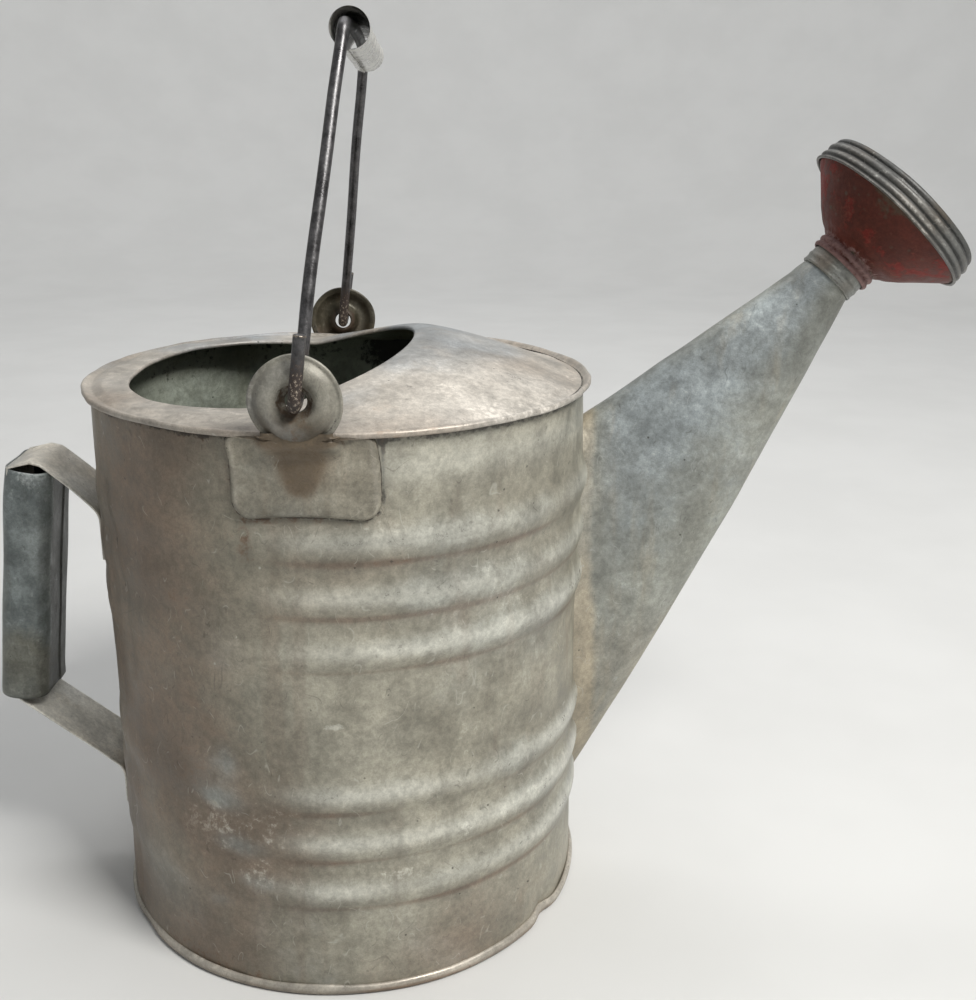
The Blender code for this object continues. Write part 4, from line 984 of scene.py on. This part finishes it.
def make_sleeve():
    """An oval tube rolled from sheet, with a lapped seam on its inner side and knocked ends."""
    depth, width, corner, length = 0.0208, 0.0400, 0.0080, 0.1160
    a, b = 0.5 * depth - corner, 0.5 * width - corner
    loop = [point for x, y, start in ((a, b, 0.0), (-a, b, 90.0), (-a, -b, 180.0), (a, -b, 270.0))
            for point in arc(x, y, corner, *np.linspace(start, start + 90.0, 11))]
    ring = even_steps(np.array(loop + loop[:1]), 132, endpoint=False)
    tangent = np.roll(ring, -1, axis=0) - np.roll(ring, 1, axis=0)
    normal = unit(np.stack([tangent[:, 1], -tangent[:, 0]], axis=1))
    lap = 0.0006 * between(ring[:, 1], 0.002, 0.003, 0.011, 0.012) * (ring[:, 0] > 0.0)
    drops = np.linspace(0.0, 1.0, 64)
    rows = np.array([np.column_stack([ring + normal * out_by, np.full(len(ring), -t * length)])
                     for out_by, order in ((0.0, drops[::-1]), ((SHEET + lap)[:, None], drops)) for t in order])
    rows = np.concatenate([rows, rows[:1]])
    end = np.exp(-np.minimum(-rows[..., 2], length + rows[..., 2]) / 0.006)
    push = 0.00045 * field(rows, 0.014, 91) + 0.0006 * end * field(rows, 0.010, 92)
    rows[..., :2] += unit(rows[..., :2]) * push[..., None]
    rows[..., 2] += 0.0006 * end * field(rows, 0.013, 93)
    low = smooth(-rows[..., 2] - 0.5 * rows[..., 1], 0.084, 0.104)
    inner = (np.arange(len(rows)) < len(drops))[:, None]
    # Painted shade: near black on the tube's inner surface and on its side towards the can; the whole tube also gets
    # an even painted sheen.
    shaded_side = smooth(rows[..., 0], 0.0035, 0.0085) * smooth(rows[..., 1], -0.0150, -0.0080)
    marks = {
        "warm": 0.05 + 0.75 * low + 0.2 * field(rows, 0.01, 94),
        "cool": 0.25 + 0.45 * field(rows, 0.008, 95) * (1.0 - low),
        "pale": 0.12 + 0.15 * field(rows, 0.006, 96) + 0.20 * end, "dark": 0.16 + 0.6 * inner + 1.3 * shaded_side,
        "rust": 0.05 + 0.30 * low, "wear_and_painted_sheen": 0.3}
    matrix = Matrix.Translation((sleeve_outer_x(SLEEVE_TOP_Z) + 0.5 * depth, 0.0, SLEEVE_TOP_Z))
    surface("sleeve_tube", place(rows, matrix @ Matrix.Rotation(SLEEVE_TILT, 4, "Y")), [SLEEVE], "can",
            "handle_sleeve", marks)


# Spout, collar and rose
def tip_point(along, up):
    c, s = math.cos(TIP_RISE), math.sin(TIP_RISE)
    return TIP + np.array([along * c - up * s, 0.0, along * s + up * c])


def spout_ring(t, inset, sides):
    """One section of the spout, from 0 at the wall to 1 at the tip."""
    root = WALL_RADIUS - 0.0006
    top = (1.0 - t) * np.array([root, 0.0, SPOUT_TOP_Z]) + t * tip_point(0.0, TIP_RADIUS)
    bottom = (1.0 - t) * np.array([root, 0.0, SPOUT_LOW_Z]) + t * tip_point(0.0, -TIP_RADIUS)
    bottom += 0.0035 * 4.0 * t * (1.0 - t) * np.array([0.9, 0.0, -0.43])
    half = SPOUT_HALF + t * (TIP_RADIUS - SPOUT_HALF) + 0.0025 * fade(t, 0.0, 0.07) + 0.0022 * math.exp(-t / 0.012)
    a = np.linspace(0.0, 2.0 * math.pi, sides, endpoint=False)
    power = 1.0 + (1.0 - t) * (0.1 - 0.35 * np.cos(a))
    ring = top + 0.5 * (1.0 - np.cos(a))[:, None] * (bottom - top)
    ring[:, 1] = -half * np.sign(np.sin(a)) * np.abs(np.sin(a)) ** power
    ring -= unit(ring - ring.mean(axis=0)) * inset
    ring[:, 0] += (np.sqrt(root ** 2 - ring[:, 1] ** 2) - root) * (1.0 - min(t / 0.15, 1.0)) ** 2
    return ring


def make_spout():
    sides = 108
    steps = np.concatenate([np.linspace(0.0, 0.06, 13), np.linspace(0.068, 1.0, 104)])
    inner = [spout_ring(t, SHEET, sides) for t in steps]
    outer = [spout_ring(t, 0.0, sides) for t in steps[::-1]]
    tail = tip_point(0.0050, 0.0) - TIP
    rows = np.array(inner + [inner[-1] + tail, outer[0] + tail] + outer)
    t = np.concatenate([steps, [1.0, 1.0], steps[::-1]])[:, None]
    a = np.linspace(0.0, 360.0, sides, endpoint=False)
    is_outer = (np.arange(len(rows)) > len(steps))[:, None]
    away = unit(rows - rows.mean(axis=1, keepdims=True))
    free = between(t, 0.02, 0.08, 0.92, 0.97)
    push = 0.00040 * field(rows, 0.026, 101) + 0.00016 * field(rows, 0.010, 102)
    push += 0.0004 * bell(a, 180.0, 7.0) * field(rows * [1.0, 0.0, 1.0], 0.012, 103)
    push = free * (push + 0.0005 * between(a, 190.0, 193.0, 204.0, 207.0))
    near = a > 180.0
    # The crease is pushed in and also painted darker, a painted shade.
    crease_z = 0.2290 + 0.10 * (rows[..., 0] - 0.1150)
    crease = bell(rows[..., 2], crease_z, 0.0022) * fade(rows[..., 0], 0.122, 0.136) * near
    rows = rows + away * ((push - 0.0011 * crease) * is_outer)[..., None]
    x, z = rows[..., 0], rows[..., 2]
    root = fade(t, 0.03, 0.10)
    # Painted highlight: a lighter, bluer band with sheen along both upper flanks of the spout.
    upper = bell(a, 312.0, 34.0) + bell(a, 48.0, 34.0)
    olive = between(x, 0.118, 0.150, 0.150, 0.200)
    scratch = bell(x, 0.196, 0.010) * bell(z + 0.25 * (x - 0.196), 0.262, 0.0045) * near
    mark = bell(x, 0.1830, 0.0040) * bell(z, 0.250, 0.0040) * near
    chip = bell(x, 0.1960, 0.0030) * bell(z, 0.232, 0.0020) * near
    noise = field(rows, 0.018, 104)
    marks = {
        "warm": 0.05 + 0.85 * root + 0.40 * bell(a, 180.0, 20.0) + 0.15 * noise
        + 0.45 * fade(z, 0.09, 0.21) + 0.35 * mark,
        "cool": 0.30 + 0.55 * upper * smooth(t, 0.02, 0.2) + 0.06 * noise - 0.3 * root,
        "pale": 0.05 + 0.20 * upper * smooth(t, 0.2, 0.5) + 0.35 * scratch + 0.40 * mark + 0.5 * chip
        + 0.08 * field(rows, 0.009, 105),
        "dark": 0.04 + 0.16 * olive * (1.0 - root) * smooth(noise, 0.0, 1.0) + 0.45 * crease,
        "rust": 0.03 + 0.30 * bell(a, 180.0, 9.0) * smooth(field(rows, 0.014, 106), -0.5, 0.6) + 0.25 * scratch
        + 0.22 * mark + 0.15 * root,
        "wear_and_painted_sheen": 0.35 * np.minimum(upper, 1.0 / 0.35)}
    surface("spout_sheet", rows, [SPOUT, INSIDE], "can", "spout", marks,
            np.arange(len(rows) - 1) < len(steps))


def tip_matrix():
    return Matrix.Translation(TIP) @ Matrix.Rotation(0.5 * math.pi - TIP_RISE, 4, "Y")


def make_collar():
    inner = TIP_RADIUS + GAP
    outer = inner + SHEET
    profile = [(outer - 0.0002, 0.0190), (outer, 0.0184), (outer, 0.0080), (outer, 0.0050), (outer + 0.0003, 0.0042),
               (outer + 0.0003, 0.0034), (outer, 0.0026), (outer, 0.0010), (outer + 0.0002, 0.0004),
               (outer + 0.0001, -0.0003), (outer - 0.0004, -0.0005), (inner, 0.0), (inner, 0.0040), (inner, 0.0120),
               (inner, 0.0188)]
    rows = turn(rounded(profile + profile[:1], 90), 112)
    flat = rows.copy()
    knocked = smooth(across(rows), inner, outer) * fade(rows[..., 2], 0.006, 0.008)
    rows[..., :2] *= (1.0 + 0.010 * field(rows, 0.008, 111) * knocked)[..., None]
    low = bell(flat[..., 2], 0.0003, 0.0007) + bell(flat[..., 2], 0.0024, 0.0005)
    noise = field(rows, 0.005, 112)
    # The band gets an even painted sheen.
    marks = {
        "warm": 0.3 + 0.3 * noise, "cool": 0.3 - 0.2 * noise, "pale": 0.10, "dark": 0.10 + 0.45 * low,
        "rust": 0.10 + 0.55 * smooth(flat[..., 0], 0.002, 0.011) * smooth(noise, -0.3, 0.5), "wear_and_painted_sheen": 0.3}
    surface("collar_band", place(rows, tip_matrix()), [COLLAR], "can", "spout_collar", marks)


def make_cone():
    neck_radius = TIP_RADIUS + 2.0 * GAP + 2.0 * SHEET
    neck = [(0.0001, 0.0077), (0.0006, 0.0084), (0.0007, 0.0094), (0.0001, 0.0103), (-0.0001, 0.0108),
            (0.0006, 0.0117), (0.0007, 0.0127), (0.0002, 0.0137), (0.0, 0.0145)]
    outer = [(neck_radius + r, z) for r, z in neck]
    outer += [(0.0163, 0.0151), (0.0182, 0.0166), (0.0207, 0.0180), (0.0232, 0.0200), (0.0258, 0.0221),
              (0.0291, 0.0252), (0.0326, 0.0285), (0.0361, 0.0317), (0.0393, 0.0347), (0.0409, 0.0363),
              (ROSE_RADIUS, 0.0372), (ROSE_RADIUS, 0.0394)]
    inner = [(r - SHEET, z + 0.0002) for r, z in outer[::-1]]
    profile = np.vstack([rounded(outer, 120), rounded(inner, 60)])
    rows = turn(np.vstack([profile, profile[:1]]), 168)
    angle = np.radians(degrees_of(rows))
    radius = across(rows)
    rng = np.random.default_rng(7)
    pleats = np.zeros_like(angle)
    for _ in range(26):
        at = rng.uniform(-math.pi, math.pi)
        wide = rng.uniform(0.020, 0.050)
        deep = rng.uniform(0.4, 1.0)
        reach = rng.uniform(0.020, 0.027)
        pleats += deep * bell((angle - at + math.pi) % (2.0 * math.pi), math.pi, wide) * fade(radius, 0.018, reach)
    pleats *= smooth(radius, 0.0150, 0.0166)
    soft = 0.00035 * field(rows, 0.018, 121) * between(radius, 0.018, 0.030, 0.038, 0.0410)
    rows[..., :2] *= (1.0 + (soft - 0.00035 * pleats) / radius)[..., None]
    z = rows[..., 2]
    neck = fade(z, 0.0138, 0.0170)
    line = bell(z, 0.0106, 0.0006) + bell(z, 0.0142, 0.0006)
    marks = {
        "fresh": 0.38 + 0.30 * field(rows, 0.012, 122) + 0.12 * smooth(rows[..., 0], -0.01, 0.03) - 0.5 * neck,
        "dirt": 0.14 + 0.55 * smooth(z, 0.0345, 0.0368) + 0.25 * field(rows, 0.009, 123) + 0.3 * line,
        "pale": 0.04 + 0.80 * neck + 0.46 * np.clip(pleats, 0.0, 1.0) - 0.2 * line}
    surface("rose_funnel", place(rows, tip_matrix()), [ROSE_PAINT], "rose", "rose_cone", marks)


def hole_places():
    """One hole in the middle and three rings of holes round it."""
    pitch = 0.0105
    return [(0.0, 0.0)] + [point for ring in (1, 2, 3) for point in arc(
        0.0, 0.0, ring * pitch, *(60.0 * (i + 0.5 * (ring % 2)) / ring for i in range(6 * ring)))]


def make_face():
    """The ribbed ring round the rose with its domed plate, pierced by small holes."""
    inner = ROSE_RADIUS + GAP
    outer = inner + SHEET
    back = 0.0362
    front = back + 0.0125
    dome = [(0.0, 0.0030), (0.010, 0.0028), (0.020, 0.0023), (0.030, 0.0014), (0.0359, 0.0007), (0.0386, 0.0004),
            (0.0402, 0.0002), (0.0411, -0.0006), (0.0414, -0.0016), (0.0410, -0.0026), (0.0413, -0.0033)]
    ribs = [(-0.0002, -0.0042), (0.0001, -0.0052), (-0.0003, -0.0062), (-0.0008, -0.0070), (-0.0003, -0.0078),
            (0.0003, -0.0088), (0.0003, -0.0098), (-0.0004, -0.0106)]
    face = [(r, front + z) for r, z in dome] + [(outer + r, front + z) for r, z in ribs]
    face += [(outer - 0.0003, back + 0.0012), (outer + 0.0005, back + 0.0007), (outer + 0.0004, back),
             (inner + 0.0001, back - 0.0001)]
    shell = [(max(r - SHEET, 0.0), z - SHEET) for r, z in face[:9]]
    shell += [(inner, front - 0.0030), (inner, front - 0.0060), (inner, back + 0.0030), (inner, back + 0.0004)]
    outside, inside = rounded(face, 96), rounded(shell[::-1], 46)
    outside[0, 0] = inside[-1, 0] = 0.0
    rows = turn(np.vstack([outside, inside]), 144)
    r = across(rows)
    rows[..., :2] *= (1.0 + 0.0035 * field(rows, 0.02, 131) * smooth(r, 0.03, 0.0414))[..., None]
    rows[..., 2] += 0.00025 * field(rows, 0.014, 132)
    z = rows[..., 2]
    side = smooth(r, 0.0399, 0.0410)
    groove = sum(bell(z, at, 0.0008) for at in (front - 0.0028, front - 0.0070, back + 0.0018)) * side
    ridge_wear_and_highlight = sum(bell(z, at, 0.0011) for at in (front - 0.0052, front - 0.0092, back + 0.0003)) * side
    noise = field(rows, 0.010, 133)
    # The ring's ridges are paler and get sheen: partly wear, partly painted highlight.
    marks = {
        "warm": 0.25 + 0.3 * noise, "cool": 0.25 - 0.2 * noise, "pale": 0.06 + 0.30 * ridge_wear_and_highlight + 0.10 * noise,
        "dark": 0.10 + 0.85 * groove + 0.45 * bell(z, front, 0.0009) * side, "rust": 0.10 + 0.12 * noise,
        "wear_and_painted_sheen": np.clip(0.30 * ridge_wear_and_highlight, 0.0, 1.0)}
    plate = surface("rose_plate", rows, [RING], "rose", "rose_face", marks)
    cutter = bmesh.new()
    for x, y in hole_places():
        hole = bmesh.ops.create_cone(cutter, cap_ends=True, segments=14, radius1=0.0010, radius2=0.0010, depth=0.010)
        bmesh.ops.translate(cutter, verts=hole["verts"], vec=(x, y, front + 0.0015))
    mesh = bpy.data.meshes.new("rose_holes")
    cutter.to_mesh(mesh)
    cutter.free()
    pierce(plate, add_object("rose_holes", mesh))
    plate.data.transform(tip_matrix())


def pierce(plate, holes):
    """Cuts the holes into the plate's mesh for good."""
    mod = plate.modifiers.new("Holes", "BOOLEAN")
    mod.operation = "DIFFERENCE"
    mod.object = holes
    mod.solver = "EXACT"
    bpy.context.view_layer.update()
    ready = plate.evaluated_get(bpy.context.evaluated_depsgraph_get())
    mesh = bpy.data.meshes.new_from_object(ready)
    plate.modifiers.remove(mod)
    plate.data = mesh
    bpy.data.objects.remove(holes, do_unlink=True)


# Floor, light and camera
def make_stage():
    """A pale floor that curves up into a round backdrop, the same from every side."""
    profile = [(0.0, 0.0), (0.4, 0.0), (1.2, 0.0), *arc(2.2, 1.4, 1.4, *np.linspace(-90.0, 0.0, 16)), (3.6, 3.4)]
    rows = turn(profile, 96)
    rows[..., 2] -= 0.0002
    mesh = grid_mesh("floor", rows, [plain_floor()])
    mesh.flip_normals()
    mesh.shade_smooth()
    add_object("floor", mesh)
    world = bpy.data.worlds.new("soft_room")
    bpy.context.scene.world = world
    world.use_nodes = True
    back = world.node_tree.nodes["Background"]
    back.inputs["Color"].default_value = (0.95, 0.97, 1.0, 1.0)
    back.inputs["Strength"].default_value = 0.36
    bpy.context.scene.view_settings.view_transform = "Standard"


def facing(right, up, back, at):
    """The matrix of an object at that place whose own X, Y and Z point right, up and back."""
    return Matrix([*np.column_stack([right, up, back, at]).tolist(), (0.0, 0.0, 0.0, 1.0)])


def area_light(name, place_at, aim, size, power, colour=(1.0, 1.0, 1.0)):
    data = bpy.data.lights.new(name, "AREA")
    data.shape = "RECTANGLE"
    data.size, data.size_y = size
    data.energy = power
    data.color = colour
    back = unit(np.subtract(place_at, aim))
    right = unit(np.cross([0.0, 0.0, 1.0], back))
    add_object(name, data).matrix_world = facing(right, np.cross(back, right), back, place_at)


def make_lights():
    area_light("key", (0.80, -0.80, 1.50), (0.0, 0.0, 0.15), (0.6, 0.5), 31.0, (1.0, 0.985, 0.95))
    area_light("fill", (-1.30, -0.80, 0.70), (0.0, 0.0, 0.15), (1.2, 1.0), 0.6, (0.95, 0.98, 1.0))
    area_light("top", (0.1, 0.6, 1.60), (0.0, 0.0, 0.2), (1.2, 1.2), 2.5)
    area_light("backdrop", (0.0, 0.9, 2.60), (0.0, 3.4, 0.4), (2.4, 1.0), 36.0)


def make_camera():
    yaw, pitch, roll = np.radians((CAMERA_YAW, CAMERA_PITCH, CAMERA_ROLL))
    right = np.array([math.cos(yaw), math.sin(yaw), 0.0])
    back = np.array([math.sin(yaw) * math.cos(pitch), -math.cos(yaw) * math.cos(pitch), math.sin(pitch)])
    up = np.cross(back, right)
    data = bpy.data.cameras.new("camera")
    data.sensor_width = 36.0
    data.lens = data.sensor_width * FOCAL_LENGTH / IMAGE_HEIGHT
    data.shift_x = (0.5 * IMAGE_WIDTH - LENS_AXIS[0]) / IMAGE_HEIGHT
    data.shift_y = -(0.5 * IMAGE_HEIGHT - LENS_AXIS[1]) / IMAGE_HEIGHT
    data.clip_start = 0.01
    camera = add_object("camera", data)
    camera.matrix_world = facing(math.cos(roll) * right + math.sin(roll) * up,
                                 math.cos(roll) * up - math.sin(roll) * right, back, CAMERA_PLACE)
    bpy.context.scene.camera = camera


make_wall()
make_base()
make_cover()
make_ear("near_ear", NEAR_EYE_Z, -math.radians(EAR_TURN), NEAR_EAR, NEAR_DISC, 0.0)
make_ear("far_ear", FAR_EYE_Z, math.pi + math.radians(EAR_TURN), FAR_EAR_SHADED, FAR_EAR_SHADED, 0.05)
make_bail()
make_grip()
make_strap()
make_sleeve()
make_spout()
make_collar()
make_cone()
make_face()
make_stage()
make_lights()
make_camera()
